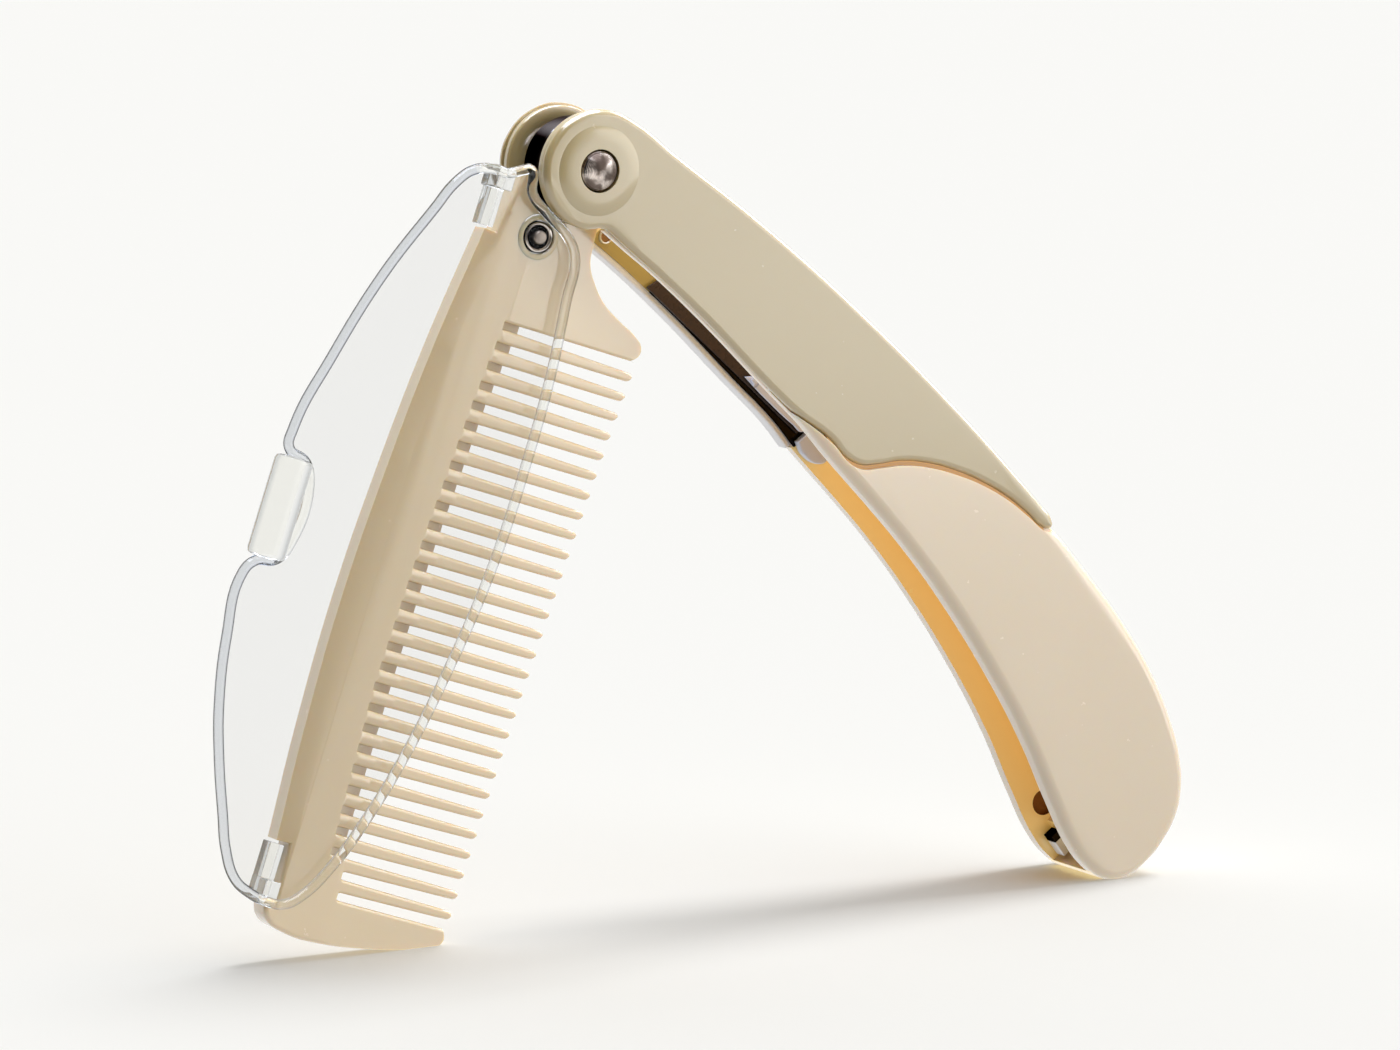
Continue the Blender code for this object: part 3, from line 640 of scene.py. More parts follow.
def gap_rows(index, u):
    """(v, left half, right half, bottom w) down one gap, root first."""
    root = between(GAP_ROOTS, u)
    start = between(GAP_ROOTS, u, 2)
    left_tip = between(TIP_LINE, u - 0.5 * TOOTH_PITCH)
    right_tip = between(TIP_LINE, u + 0.5 * TOOTH_PITCH)
    tip = 0.5 * (left_tip + right_tip)
    rows = []
    if index < GAP_COUNT - PLAIN_GAPS:
        rows += [(start + ahead, half, half, low_w) for ahead, half, low_w in RUN_OUT]
        rows += [(root - 0.25, 0.42, 0.42, 0.12)]
    else:
        rows += [(root - 0.42, 0.12, 0.12, THROUGH_W), (root - 0.3, 0.3, 0.3, THROUGH_W)]
    rows += [(root, GAP_HALF_ROOT, GAP_HALF_ROOT, THROUGH_W)]
    rows += [(tip - 7.0, GAP_HALF_MID, GAP_HALF_MID, THROUGH_W)]
    spread = 0.5 * TOOTH_PITCH - GAP_HALF_END
    for back, share in TIP_SPREAD:
        half = GAP_HALF_END + share * spread
        rows.append((tip - back * TIP_ROUND, half, half, THROUGH_W))
    if index == 0:
        rows = [(v, min(left, u - HORN_U), right, w) for v, left, right, w in rows]
    if index == GAP_COUNT - 1:
        rows = [(v, left, min(right, LOW_HORN_U - u), w) for v, left, right, w in rows]
    return rows


def gap_cutter(index, face):
    u = FIRST_GAP_U + TOOTH_PITCH * index
    rings = []
    for v, left, right, low_w in gap_rows(index, u):
        ring = flare(u, -1.0, left, v, low_w, face)
        rings.append(list(reversed(ring)) + flare(u, 1.0, right, v, low_w, face))
    return loft("gap", rings)


for face in (1.0, -1.0):
    for first in (0, 1):
        cut(blank, join([gap_cutter(i, face) for i in range(first, GAP_COUNT, 2)]))
print(shape(blank), "gaps:", GAP_COUNT)

# %% A raised bead round the stud's hole
BEAD_TOP = COMB_HALF_T + 0.16
bead_half = (
    (STUD_HOLE_R - 0.15, BEAD_TOP - 0.1), (STUD_HOLE_R - 0.05, BEAD_TOP), (STUD_HOLE_R + 0.2, BEAD_TOP),
    (STUD_HOLE_R + 0.36, BEAD_TOP - 0.06), (STUD_HOLE_R + 0.48, COMB_HALF_T),
    (STUD_HOLE_R + 0.6, COMB_HALF_T - 0.3),
)
join([blank, lathe("bead", both_faces(bead_half) + bead_half[:1], (STUD_U, STUD_V))])
on_comb(blank, cream, "cream", "comb")

# %% [markdown]
# ## Steel in the comb's neck
# A polished disc turns between the ears, and a tubular stud holds its tongue in the neck. On the real
# object the stud is one turned and rolled piece, painted here in three tones: painted shade in its cup,
# a painted highlight on its rolled lip and a grained pin in the middle. So it is spun as three profiles,
# one to a tone.

# %% Disc and tongue
TANG_R = 5.5
TANG_HOLE_R = 2.2
TANG_TONGUE = ((3.5, -5.2, -0.5), (12.2, 0.2, 0.5))
half = COMB_HALF_T
disc_half = ((0.0, half), (TANG_R - 0.3, half), (TANG_R - 0.08, half - 0.09), (TANG_R, half - 0.3))
tang = lathe("tang_disc", both_faces(disc_half), sides=128)
unite(tang, block("tongue", *TANG_TONGUE))
cut(tang, drum("pin_hole", TANG_HOLE_R, -4.0, 4.0))
cut(tang, drum("tongue_hole", STUD_HOLE_R, -4.0, 4.0, (STUD_U, STUD_V)))
on_comb(tang, disc_steel, "dark_steel", "comb_tang")

# %% Stud: a cup in painted shade, a lip with a painted highlight, and the grained pin in its middle
STUD_R = 1.72
cup_half = (
    (0.0, half - 0.7), (0.5, half - 0.7), (0.84, half - 0.68), (1.1, half - 0.62), (1.24, half - 0.5),
    (1.32, half - 0.2), (1.38, half + 0.02), (1.44, half + 0.12), (1.55, half + 0.16), (1.66, half + 0.12),
    (STUD_R, half + 0.02),
)
cup = lathe("stud_cup", both_faces(cup_half), (STUD_U, STUD_V))
on_comb(cup, cup_steel_painted_shade, "bright_steel", "comb_rivet")
lip_ring = (
    (1.3, half + 0.06), (1.38, half + 0.16), (1.5, half + 0.2), (1.62, half + 0.16), (1.68, half + 0.06),
    (1.5, half), (1.3, half + 0.06),
)
pin_half = (
    (0.0, half + 0.75), (0.45, half + 0.74), (0.62, half + 0.7), (0.71, half + 0.6), (0.75, half + 0.45),
    (0.78, half - 0.5),
)
pin = lathe("stud_pin", both_faces(pin_half), (STUD_U, STUD_V))
on_comb(pin, grained_steel, "bright_steel")
lips = [lathe("stud_lip", [(r, side * w) for r, w in lip_ring], (STUD_U, STUD_V)) for side in (1.0, -1.0)]
on_comb(join(lips), lip_steel_painted_highlight, "bright_steel")

# %% [markdown]
# ## The clear shield
# A clear sheet with a thick rim clips to the comb by two lugs in its spine, and a round bar on the outer
# rim is the thumb tab. The rim could be the bevel of a flat moulding, but a round bar swept along the
# loop keeps its section round in the tight corners by the tab. The lugs and the tab are united with it,
# because the real shield is one moulding. The sheet is a second, thinner piece with its own material.
# Neither throws a shadow here: clear plastic this thin hardly dims what is behind it.

# %% Shield
SHIELD_W = 2.6
RIM_R = 0.58
SHEET_HALF_T = 0.22
SHIELD_LOOP = (
    (3.2, -10.5), (3.2, -9.1), (2.3, -7.2), (2.0, -6.4),
    (4.4, -5.4), (6.0, -2.9), (7.6, 0.2), (9.6, 1.9),
    (14.2, 2.4), (22.0, 3.2), (31.3, 3.5), (44.1, 3.2),
    (56.0, 1.7), (67.4, -0.6), (74.1, -2.6), (79.7, -4.8),
    (84.2, -7.6), (85.5, -9.3), (85.7, -11.0), (85.2, -13.9),
    (84.2, -15.9), (81.5, -17.9), (77.9, -19.5), (72.4, -21.8),
    (66.8, -23.7), (59.6, -25.2), (52.6, -25.6), (51.0, -24.6),
    (50.2, -22.2), (48.0, -21.1), (41.6, -21.0), (39.4, -22.2),
    (38.4, -24.6), (36.4, -24.8), (27.9, -22.9), (17.6, -19.8),
    (9.2, -16.2), (5.9, -14.7), (4.0, -13.0),
)
TAB_U = (39.2, 50.4)
TAB_V = -23.6
TAB_R = 2.12
OUTER_RIM_V = -12.6
SHEET_INSET = 0.35
# the lugs that go into the spine: low corner, high corner, rounded edge
LUGS = (
    ("top_block", (2.75, -9.9, -1.1), (5.0, -7.9, SHIELD_W + 0.1), 0.15),
    ("top_arm", (4.5, -9.6, -1.0), (9.2, -7.95, 1.0), 0.12),
    ("low_block", (83.4, -12.1, -1.1), (85.6, -10.3, SHIELD_W + 0.1), 0.15),
    ("low_arm", (79.45, -12.1, -1.0), (83.9, -10.4, 1.0), 0.12),
)


def tube(name, rows, at_w, radius, steps=8, ring_steps=4):
    """Round bar swept along a closed outline."""
    curve = outline(name, rows, at_w)
    curve.dimensions = "3D"
    curve.resolution_u = steps
    curve.bevel_depth = radius * MM
    curve.bevel_resolution = ring_steps
    bpy.ops.object.convert(target="MESH")
    return close_up(bpy.context.object)


shield = tube("shield_rim", SHIELD_LOOP, SHIELD_W, RIM_R)
for name, low, high, edge in LUGS:
    unite(shield, block(name, low, high, edge))
near_u, far_u = TAB_U
tab = lathe("tab", (
    (0.0, far_u), (1.5, far_u), (1.95, far_u - 0.2), (TAB_R, far_u - 0.6),
    (TAB_R, near_u + 0.6), (1.95, near_u + 0.2), (1.5, near_u), (0.0, near_u),
), sides=64)
tab.data.transform(Matrix.Translation(Vector((0.0, TAB_V, SHIELD_W)) * MM) @ ALONG_U)
unite(shield, tab)
outer_faces = [face.index for face in shield.data.polygons if face.center.y < OUTER_RIM_V * MM
               and not (TAB_U[0] < face.center.x / MM < TAB_U[1])]
on_comb(shield, clear, "clear", "clear_guard")
shield.data.materials.append(clear_rim)
for index in outer_faces:
    shield.data.polygons[index].material_index = 1
low, high = SHIELD_W - SHEET_HALF_T, SHIELD_W + SHEET_HALF_T
window = moulding("shield_sheet", SHIELD_LOOP, low, high, 0.0, 8, 1, -SHEET_INSET)
on_comb(window, film, "clear")
for see_through in (shield, window):
    see_through.visible_shadow = False
    see_through.visible_diffuse = False

# %% [markdown]
# ## The handle
# The handle is a channel that the comb folds into. Its lower half is one shell, and its upper half has a
# raised cover on each side that ends in an ear round the pivot and in an S-shaped edge. The shell is an
# outline with rounded rims, and the S, the channel, the rail's seat and a small round recess are cut from
# it. The faces inside the channel are then found by their place and painted a brighter gold with a
# painted glow, for the light that soaks through the wall, and the recess's faces get painted shade.

# %% Handle outlines
HALF_T = 5.9
CORE_HALF_T = 4.5
CHANNEL_HALF = 3.55
COVER_IN_W = 4.8
RIM_ROUND = 1.2
EAR_R = 6.4
EAR_GAP_R = 6.75
BAND_WIDTH = 1.0
MOUTH = (
    (5.0, -3.3), (9.4, -2.3), (13.8, -1.2), (22.0, 0.4), (32.9, 2.0), (40.2, 3.1), (43.6, 3.2),
    (51.7, 4.1),
)
LOWER = (
    (33.0, 2.05, CORNER), (36.6, 2.6), (40.2, 3.02), (43.6, 3.24),
    (47.6, 3.65), (51.7, 4.1), (59.4, 4.75), (67.0, 4.9),
    (77.5, 4.4), (87.3, 3.2), (95.0, 1.6), (101.0, 0.6),
    (104.4, 0.75), (106.9, 1.6), (108.5, 3.3), (109.1, 7.0),
    (108.6, 10.4), (107.3, 13.5), (105.0, 16.0), (102.2, 17.75),
    (98.0, 19.3), (92.0, 20.6), (85.0, 21.15), (77.5, 21.0),
    (68.0, 20.3), (58.0, 18.6), (48.0, 15.0), (33.0, 10.0, CORNER),
)
S_EDGE = (
    (76.0, 26.0, CORNER), (71.4, 22.2), (70.3, 20.6), (69.1, 19.35),
    (66.2, 18.55), (63.1, 17.7), (59.4, 16.15), (56.3, 14.35),
    (53.3, 12.15), (50.85, 9.7), (49.1, 7.2), (47.9, 5.6),
    (46.2, 4.6), (43.0, 4.25), (34.5, 1.9, CORNER), (20.0, 5.0, CORNER),
    (20.0, 40.0, CORNER), (76.0, 40.0, CORNER),
)
COVER = (
    (6.5, -2.65, CORNER), (5.65, -3.0), (3.6, -5.3), (0.0, -6.4),
    (-3.6, -5.3), (-6.0, -2.2), (-6.1, 2.0), (-4.2, 5.0),
    (-0.7, 6.85), (4.6, 8.3), (17.2, 12.0), (33.4, 15.8),
    (51.0, 18.9), (60.4, 20.1), (66.6, 20.75), (68.6, 20.85),
    (69.3, 20.35), (68.6, 19.6), (66.0, 19.05), (62.9, 18.2),
    (59.1, 16.6), (55.9, 14.8), (52.9, 12.6), (50.4, 10.1),
    (48.6, 7.4), (47.4, 5.9), (45.6, 4.95), (42.0, 4.5),
    (38.0, 3.2), (32.9, 2.15), (22.0, 0.55), (13.8, -1.05),
    (9.4, -2.05),
)
CORE = (
    (2.0, -3.7, CORNER), (13.8, -0.9), (32.9, 2.4), (43.6, 3.5),
    (60.0, 5.2), (78.0, 4.9), (98.0, 1.8, CORNER), (104.0, 6.0, CORNER),
    (102.0, 15.0, CORNER), (90.0, 20.0), (70.0, 19.8), (60.4, 19.5),
    (42.0, 16.8), (17.2, 11.4), (0.0, 6.5, CORNER),
)
CHANNEL = (
    (-9.0, -14.0, CORNER), (-9.0, 30.0, CORNER), (31.5, 30.0, CORNER), (33.5, 13.3, CORNER),
    (42.0, 14.9), (51.0, 16.3), (60.4, 17.4), (72.0, 18.2),
    (84.0, 18.3), (92.0, 17.2), (97.5, 14.0), (100.5, 8.5),
    (101.0, 3.1, CORNER), (105.3, 3.1, CORNER), (105.9, -14.0, CORNER),
)
LIP_U = (5.0, 38.0)
RAIL_U = (9.2, 43.8)
SMALL_GAP = 0.3
END_RECESS = (99.0, 4.0)
END_RECESS_R = 1.5
END_RECESS_DEPTH = 0.6


def corner_ends(one_side, way_back):
    """Outline of a strip from its two sides, smooth along each and cornered where they end."""
    rows = [row[:2] for row in (*one_side, *way_back)]
    ends = (0, len(one_side) - 1, len(one_side), len(rows) - 1)
    return [(*row, CORNER) if i in ends else row for i, row in enumerate(rows)]


def mouth_strip(shift_low, shift_high, low_u, high_u):
    """Outline of a strip that follows the channel's mouth, from one shift inwards to another."""
    us = [low_u] + [u for u, v in MOUTH if low_u + 1.5 < u < high_u - 1.5] + [high_u]
    lower = [(u, between(MOUTH, u) + shift_low) for u in us]
    upper = [(u, between(MOUTH, u) + shift_high) for u in reversed(us)]
    return corner_ends(lower, upper)


# %% Handle shell
S_EDGE_ROUND = 0.38


def round_s_edge(obj):
    """Selects the sharp outer edges that the S cut left, by their angle and height, and bevels them."""
    alone(obj)
    bpy.ops.object.mode_set(mode="EDIT")
    bpy.ops.mesh.select_mode(type="EDGE")
    bpy.ops.mesh.select_all(action="DESELECT")
    mesh = bmesh.from_edit_mesh(obj.data)
    chosen = 0
    for edge in mesh.edges:
        high = min(abs(vert.co.z) for vert in edge.verts) > (CORE_HALF_T + 0.05) * MM
        if high and edge.is_convex and edge.calc_face_angle(0.0) > math.radians(40.0):
            edge.select = True
            chosen += 1
    bmesh.update_edit_mesh(obj.data)
    bpy.ops.mesh.bevel(offset=S_EDGE_ROUND * MM, segments=4, affect="EDGES", clamp_overlap=True)
    bpy.ops.mesh.select_mode(type="VERT")
    bpy.ops.object.mode_set(mode="OBJECT")
    print("S edges rounded:", chosen)
    return obj


shell = moulding("handle_shell", LOWER, -HALF_T, HALF_T, RIM_ROUND, 8, 6)
for low, high in ((CORE_HALF_T, 9.0), (-9.0, -CORE_HALF_T)):
    cut(shell, moulding("s_edge", S_EDGE, low, high, steps=10), solver="MANIFOLD")
round_s_edge(shell)
lip = moulding("lip", mouth_strip(0.0, BAND_WIDTH, *LIP_U), -CORE_HALF_T, CORE_HALF_T, 0.2, 6, 3)
core = moulding("core", CORE, -CORE_HALF_T, CORE_HALF_T, steps=6)
unite(shell, core, lip, solver="MANIFOLD")
cut(shell, moulding("channel", CHANNEL, -CHANNEL_HALF, CHANNEL_HALF, steps=6))
cut(shell, drum("ear_seat", EAR_GAP_R, -8.0, 8.0))
seat = mouth_strip(-4.0, 0.75, RAIL_U[0] - SMALL_GAP, RAIL_U[1] + SMALL_GAP)
cut(shell, moulding("rail_seat", seat, -8.0, -3.0, steps=6))
cut(shell, drum("end_recess", END_RECESS_R, -CHANNEL_HALF - END_RECESS_DEPTH, 0.0, END_RECESS, 48))
cut(shell, floor_block(HANDLE_BENCH))
# the channel's faces take the gold with a painted glow, and the recess's faces take the painted shade
painted_glow_faces = [face.index for face in shell.data.polygons
                 if abs(face.center.z) < (CHANNEL_HALF + 0.02) * MM
                 and (abs(face.normal.z) > 0.9 or face.normal.y < -0.2)]
recess_shade_faces = [face.index for face in shell.data.polygons
                if face.center.z < -(CHANNEL_HALF + 0.1) * MM and abs(face.center.z) < CORE_HALF_T * MM
                and (face.center.xy - Vector(END_RECESS) * MM).length < (END_RECESS_R + 0.1) * MM]
on_handle(shell, cream_shell, "cream", "handle_body")
for paint in (cream_channel_painted_glow, cream_recess_painted_shade):
    shell.data.materials.append(paint)
for paint_slot, faces in ((1, painted_glow_faces), (2, recess_shade_faces)):
    for index in faces:
        shell.data.polygons[index].material_index = paint_slot
print("channel faces in gold:", len(painted_glow_faces), "in the recess:", len(recess_shade_faces))


# %% [markdown]
# The covers are raised above the shell. Each is one moulding of an arm and a round ear, and the ear swells
# in a low dome towards the rivet. The arm could be sculpted, but an outline with a rounded rim gives its
# even edge, and a profile spun about the pivot gives the dome. The two are united, because no seam shows.

# %% Covers with their ears
COVER_RIM = 0.7
COVER_GROW = 0.12
PIN_HOLE_R = 2.37
ARM_TOP = 5.66
DOME_FROM_R, DOME_LOW_W = 3.3, 4.25
DOME_STEPS = 12
EAR_DOME = [(0.0, HALF_T)]
for i in range(DOME_STEPS + 1):
    t = math.radians(90.0 * i / DOME_STEPS)
    r = DOME_FROM_R + (EAR_R - DOME_FROM_R) * math.sin(t)
    EAR_DOME.append((r, DOME_LOW_W + (HALF_T - DOME_LOW_W) * math.cos(t)))
EAR_DOME += [(EAR_R, 3.75), (6.3, 3.6), (6.1, CHANNEL_HALF), (0.0, CHANNEL_HALF)]


def cover(name, side, node_name):
    inner, outer = sorted((side * (CHANNEL_HALF + 0.6), side * ARM_TOP))
    made = moulding(name, COVER, inner, outer, COVER_RIM, 10, 10, COVER_GROW)
    low, high = sorted((side * (CHANNEL_HALF - 0.8), side * COVER_IN_W))
    cut(made, block("under", (-20.0, -20.0, low), (90.0, 40.0, high)))
    unite(made, lathe("ear", [(r, side * w) for r, w in EAR_DOME]))
    cut(made, drum("pin_hole", PIN_HOLE_R, -9.0, 9.0))
    return on_handle(made, cream_cover, "cream_cover", node_name, sharp=15.0)


cover("cover_front", 1.0, "front_cover")
cover("cover_back", -1.0, "back_cover")

# %% [markdown]
# Between cover and shell runs a narrow groove in the shape of the S. Light that has soaked through the thin
# plastic on both sides collects in it, so on the real object it is a thin amber line. A strip at the
# groove's floor, drawn between the two edges themselves, gives the line its place, and its amber colour
# with a glow is painted light.

# %% The groove between cover and shell, with its painted amber glow
GROOVE_LOW_W, GROOVE_W = 4.6, 5.1
S_SHELL_SIDE, S_COVER_SIDE = S_EDGE[3:14], COVER[17:28]


def groove(side):
    """Strip between the shell's S edge and the cover's, on one side of the handle, that carries the painted
    glow.
    """
    low, high = sorted((side * GROOVE_LOW_W, side * GROOVE_W))
    rows = corner_ends(S_SHELL_SIDE, reversed(S_COVER_SIDE))
    return moulding("groove", rows, low, high, 0.0, 8, 1, COVER_GROW)


groove_glow_strips = join([groove(1.0), groove(-1.0)])
on_handle(groove_glow_strips, cream_groove_painted_glow, "cream")

# %% [markdown]
# The rivet that both halves turn on is a steel pin with a low domed head on each ear. Its head was formed
# on a lathe, so it is spun from a profile, and its material carries the turning marks.

# %% Pivot rivet
HEAD_PROUD = 0.4
top = HALF_T + HEAD_PROUD
rivet_half = (
    (0.0, top), (0.5, top - 0.02), (1.0, top - 0.08), (1.5, top - 0.19), (1.85, top - 0.32),
    (2.08, top - 0.46), (2.2, HALF_T - 0.25), (2.2, CHANNEL_HALF + 0.2), (1.9, CHANNEL_HALF - 0.1),
)
rivet = lathe("rivet_domed", both_faces(rivet_half))
on_handle(rivet, bright_steel, "bright_steel", "pivot_rivet")

# %% [markdown]
# ## Steel in the channel
# A rail lines the far lip, a brown spring plate lies on the far wall, and a bright stamped tongue, an end
# stop and a small clip finish it. They are thin stampings, so each is a flat outline with a small rim.
# Two thin liners go behind them, both in painted shade: a black bed for the shade in the wedge beside the
# plate, and a liner on the upper wall, whose plastic lies deeper in shade. It holds a tiny eyelet whose
# hollow is a dark disc of painted shade. The tongue is bent up in a step near its upper end. The clip is
# seen as a pale plate with a dark top, so it is two pieces.

# %% Rail, plate, tongue, stop and clip
PLATE = ((17.6, -0.1, CORNER), (43.0, 4.6, CORNER), (43.0, 8.6, CORNER), (18.6, 6.0, CORNER))
TONGUE = (
    (33.3, 3.15, CORNER), (36.0, 3.5, CORNER), (41.6, 4.6), (43.1, 5.1),
    (42.6, 6.0), (40.0, 5.9, CORNER), (34.6, 4.9, CORNER),
)
RAIL_END = (
    (43.6, 3.9, CORNER), (45.2, 3.6), (47.4, 4.5), (47.7, 5.6),
    (46.4, 6.4), (43.6, 6.6, CORNER),
)
SHADE_LINER_SHIFT = (0.3, 4.6)
SHADE_WALL_U, SHADE_BED_U = (9.0, 18.4), (18.4, 44.2)
# corners of the small blocks, with w counted from the channel's far wall
STEP = ((34.0, 3.4, 1.15), (34.75, 4.7, 1.6))
STEP_GAP = ((34.9, 3.0, 1.15), (35.15, 5.4, 1.9))
CLIP = ((102.75, 1.6, 0.35), (104.9, 2.8, 2.0))
CLIP_TOP = ((101.85, 1.6, 0.35), (102.75, 2.95, 2.1))
EYELET_AT = (9.97, -0.51)
EYELET_R = 0.62
far_wall = -CHANNEL_HALF


def stamping(name, rows, low, high, rim=0.0, steps=6, rim_steps=1):
    """Flat piece between two heights above the channel's far wall."""
    return moulding(name, rows, far_wall + low, far_wall + high, rim, steps, rim_steps)


def small_block(name, corners, edge=0.0):
    low, high = [(u, v, far_wall + w) for u, v, w in corners]
    return block(name, low, high, edge)


on_handle(stamping("rail_strip", mouth_strip(-0.4, 0.42, *RAIL_U), -1.9, 0.0, 0.18, 6, 3),
          rail_steel, "grey_steel", "steel_rail")
# a thin liner of painted shade on the channel's upper wall
on_handle(stamping("upper_wall_painted_shade", mouth_strip(*SHADE_LINER_SHIFT, *SHADE_WALL_U), 0.0, 0.1), cream_painted_shade, "cream")
eyelet = [(r, far_wall + w) for r, w in (
    (EYELET_R, 0.1), (EYELET_R, 0.35), (0.7, 0.42), (0.78, 0.35), (0.8, 0.1), (EYELET_R, 0.1))]
on_handle(lathe("wall_eyelet", eyelet, EYELET_AT, 48), cream_shell, "cream")
# the eyelet's hollow is a dark disc of painted shade
on_handle(drum("eyelet_hollow_painted_shade", EYELET_R, far_wall + 0.05, far_wall + 0.16, EYELET_AT, 48),
          cream_recess_painted_shade, "cream")
# a black liner of painted shade, for the shade in the wedge beside the plate
on_handle(stamping("bed_painted_shade", mouth_strip(*SHADE_LINER_SHIFT, *SHADE_BED_U), 0.0, 0.3), dark_steel, "dark_steel")
on_handle(stamping("spring_plate", PLATE, 0.3, 0.7, 0.08, 4, 2), spring_steel, "dark_steel", "steel_plate")
tongue = stamping("stamped_tongue", TONGUE, 1.0, 1.3, 0.08, 6, 2)
unite(tongue, small_block("tongue_step", STEP, 0.1))
cut(tongue, small_block("step_gap", STEP_GAP))
on_handle(tongue, tongue_steel, "bright_steel", "spring_tongue")
on_handle(stamping("end_stop", RAIL_END, 0.3, 1.35, 0.2, 8, 3), zinc, "grey_steel", "rail_end")
on_handle(small_block("clip_plate", CLIP, 0.12), rail_steel, "grey_steel", "end_clip")
on_handle(small_block("clip_dark_top", CLIP_TOP, 0.06), dark_steel, "grey_steel")

# %% [markdown]
# ## Floor, light and camera
# The picture is a high-key studio shot: a white sweep, a big soft light above, a second one at the right
# edge, and little light from the viewer's side, so faces towards the viewer stay calm and edges glow.
# The room is the world's own light. It is dimmed round the viewer, and a black card on the left gives
# the comb's bevel its darker tone. The three area lights shine on the object alone, and the sun on the
# floor alone: that keeps the white sweep from burning out while its soft shadows stay. The Standard view
# transform keeps white paper white.

# %% Floor
bpy.ops.object.select_all(action="DESELECT")
bpy.ops.mesh.primitive_plane_add(size=20.0, location=(0.0, 0.0, 0.0))
floor = bpy.context.object
floor.name = "white_sweep"
paper, tree, shader = material("white_paper_sweep")
set_all(shader, Base_Color=colour("#F4F4F2"), Roughness=0.9, Specular_IOR_Level=0.1)
floor.data.materials.append(paper)
floor.visible_diffuse = False
floor.visible_glossy = False

# %% World
world = bpy.data.worlds.new("studio")
bpy.context.scene.world = world
world.use_nodes = True
sky = world.node_tree
sky.nodes.clear()
BACKDROP = 0.95
FLOOR_BOUNCE = 1.05
VIEWER = (-0.48, -0.865, 0.147)
BLACK_CARD = (-0.9, 0.0, 0.43)
ROOM_WHITE = (1.0, 0.995, 0.985, 1.0)
direction = node(sky, "ShaderNodeTexCoord").outputs["Generated"]
upward = node(sky, "ShaderNodeSeparateXYZ", [("Vector", direction)]).outputs["Z"]


def dark_patch(towards, outer_dot, inner_dot, share):
    """Factor that falls from 1 to a share inside a soft cone round a direction of the room."""
    dot = node(sky, "ShaderNodeVectorMath", [(0, direction)], operation="DOT_PRODUCT")
    dot.inputs[1].default_value = towards
    patch = node(sky, "ShaderNodeMapRange", [("Value", dot.outputs["Value"])], in_from_min=outer_dot,
                 in_from_max=inner_dot, in_to_min=1.0, in_to_max=share, interpolation_type="SMOOTHSTEP")
    return patch.outputs["Result"]


def times(a, b):
    return node(sky, "ShaderNodeMath", [(0, a), (1, b)], operation="MULTIPLY").outputs[0]


height = node(sky, "ShaderNodeMapRange", [("Value", upward)], in_from_min=-0.4, in_from_max=0.8,
              in_to_min=1.08, in_to_max=0.92).outputs["Result"]
above = times(times(dark_patch(VIEWER, 0.58, 0.84, 0.12), height), dark_patch(BLACK_CARD, 0.45, 0.85, 0.05))
floor_share = node(sky, "ShaderNodeMapRange", [("Value", upward)], interpolation_type="SMOOTHSTEP",
                   in_from_min=-0.12, in_from_max=-0.34, in_to_min=0.0, in_to_max=1.0).outputs["Result"]
level = node(sky, "ShaderNodeMix", [("Factor", floor_share), ("A", above)], in_b=FLOOR_BOUNCE)
room = node(sky, "ShaderNodeBackground", [("Strength", level.outputs["Result"])], in_color=ROOM_WHITE)
backdrop = node(sky, "ShaderNodeBackground", in_color=(1.0, 1.0, 1.0, 1.0), in_strength=BACKDROP)
path = node(sky, "ShaderNodeLightPath")
seen = node(sky, "ShaderNodeMath", operation="MAXIMUM",
            links=[(0, path.outputs["Is Camera Ray"]), (1, path.outputs["Is Transmission Ray"])])
pick = node(sky, "ShaderNodeMixShader",
            [(0, seen.outputs[0]), (1, room.outputs[0]), (2, backdrop.outputs[0])])
node(sky, "ShaderNodeOutputWorld", [("Surface", pick.outputs[0])])


# %% Lights
def soft_light(name, place, aim, size, power, tint="#FFFFFF"):
    bpy.ops.object.select_all(action="DESELECT")
    bpy.ops.object.light_add(type="AREA", location=place)
    lamp = bpy.context.object
    lamp.name = name
    lamp.data.shape = "RECTANGLE"
    lamp.data.size, lamp.data.size_y = size
    lamp.data.energy = power
    lamp.data.color = colour(tint)[:3]
    lamp.rotation_euler = (Vector(aim) - Vector(place)).to_track_quat("-Z", "Y").to_euler()
    return lamp


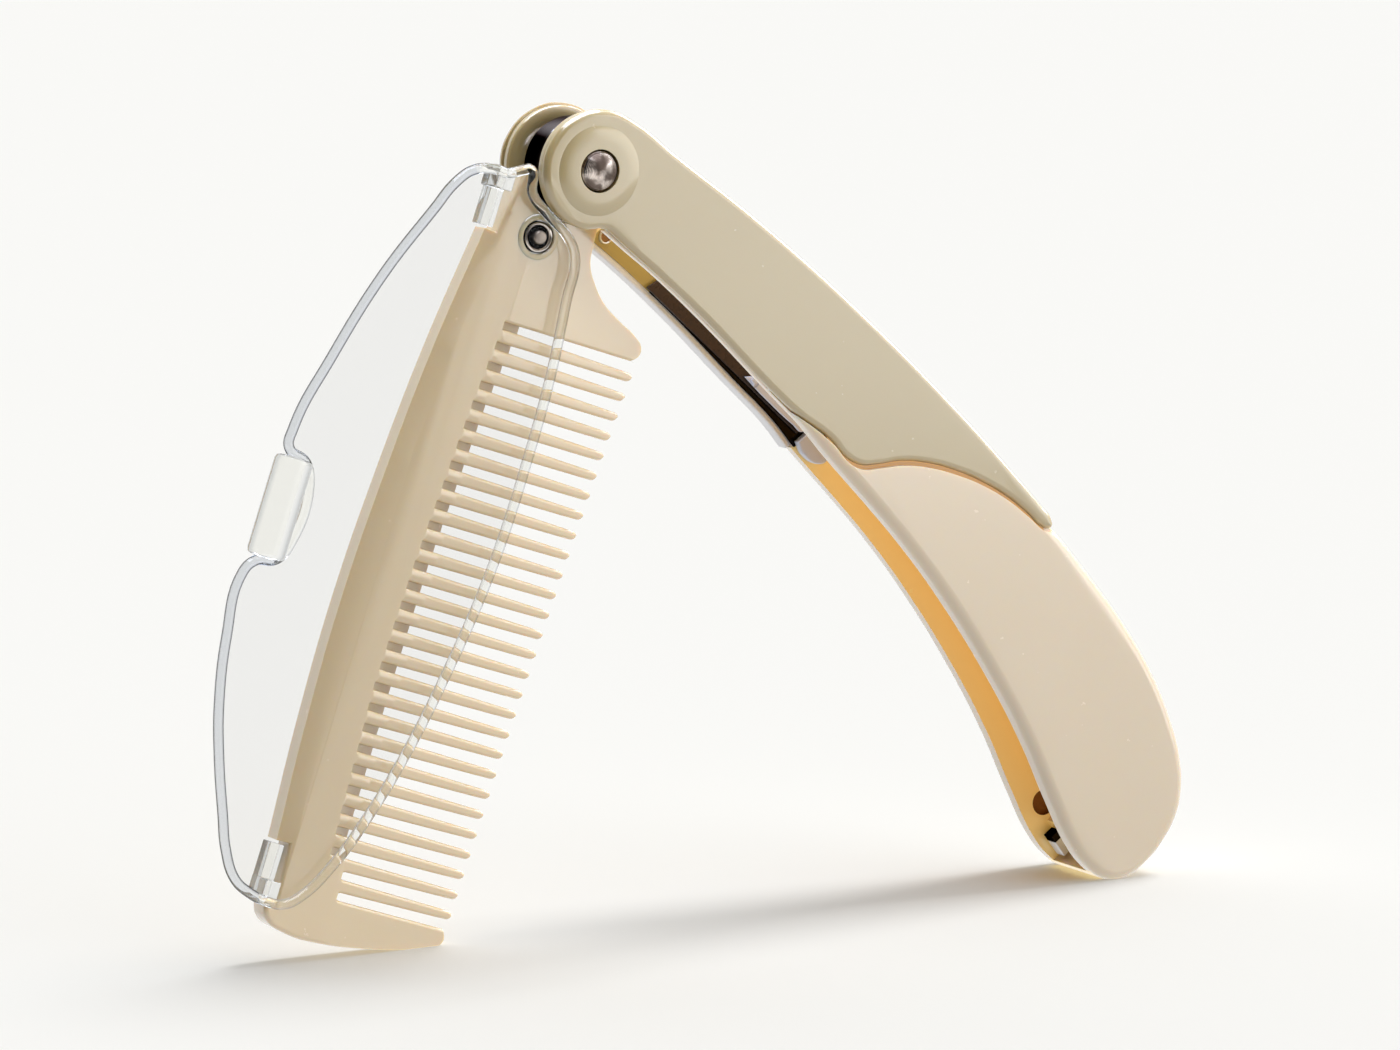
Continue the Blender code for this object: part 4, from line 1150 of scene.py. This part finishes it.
middle = (0.0, 0.0, 0.045)
overhead = soft_light("overhead", (0.02, 0.0, 0.62), middle, (0.75, 0.55), 8.3, "#E8EFFF")
edge_light = soft_light("edge_light", (0.57, 0.08, 0.41), middle, (0.45, 0.45), 3.6, "#F0F4FF")
right_card = soft_light("right_card", (0.52, -0.5, 0.14), middle, (0.55, 0.4), 1.0)
lit_object = bpy.data.collections.new("comb_and_handle")
for piece in [o for o in bpy.context.scene.objects if o.type == "MESH" and o != floor]:
    lit_object.objects.link(piece)
for lamp in (overhead, edge_light, right_card):
    lamp.light_linking.receiver_collection = lit_object
floor_only = bpy.data.collections.new("floor_only")
floor_only.objects.link(floor)
bpy.ops.object.select_all(action="DESELECT")
bpy.ops.object.light_add(type="SUN", location=(0.3, 0.1, 0.5))
floor_key = bpy.context.object
floor_key.name = "floor_key"
floor_key.data.energy = 1.5
floor_key.data.angle = math.radians(22.0)
floor_key.rotation_euler = Vector((0.55, 0.1, 1.0)).to_track_quat("Z", "Y").to_euler()
floor_key.light_linking.receiver_collection = floor_only

# %% Camera
CAMERA_AZIMUTH = -29.0
CAMERA_ELEVATION = 8.48
FOCAL_PX = 7000.0
IMAGE_W, IMAGE_H = 1400, 1050
ANCHOR_PX = (600.3, 171.2)
ANCHOR_DEPTH = 756.0
a, e = math.radians(CAMERA_AZIMUTH), math.radians(CAMERA_ELEVATION)
right = Vector((math.cos(a), math.sin(a), 0.0))
back_dir = Vector((math.sin(a) * math.cos(e), -math.cos(a) * math.cos(e), math.sin(e)))
up = back_dir.cross(right)
anchor = Vector((PIVOT.x, -HALF_T, PIVOT.z))
off_x = (ANCHOR_PX[0] - IMAGE_W / 2) / FOCAL_PX
off_y = -(ANCHOR_PX[1] - IMAGE_H / 2) / FOCAL_PX
eye = anchor - ANCHOR_DEPTH * (-back_dir + off_x * right + off_y * up)
camera = bpy.data.objects.new("camera", bpy.data.cameras.new("camera"))
bpy.context.scene.collection.objects.link(camera)
bpy.context.scene.camera = camera
camera.location = eye * MM
camera.rotation_euler = (-back_dir).to_track_quat("-Z", "Y").to_euler()
camera.data.sensor_width = 36.0
camera.data.lens = 36.0 * FOCAL_PX / IMAGE_W
camera.data.clip_start, camera.data.clip_end = 0.01, 20.0
print("camera at", [round(x, 1) for x in eye])

# %% [markdown]
# ## The view transform
# The dressed model keeps the CAD model's true size. The last line sets the Standard view transform.

# %% The last line: the view transform
bpy.context.scene.view_settings.view_transform = "Standard"
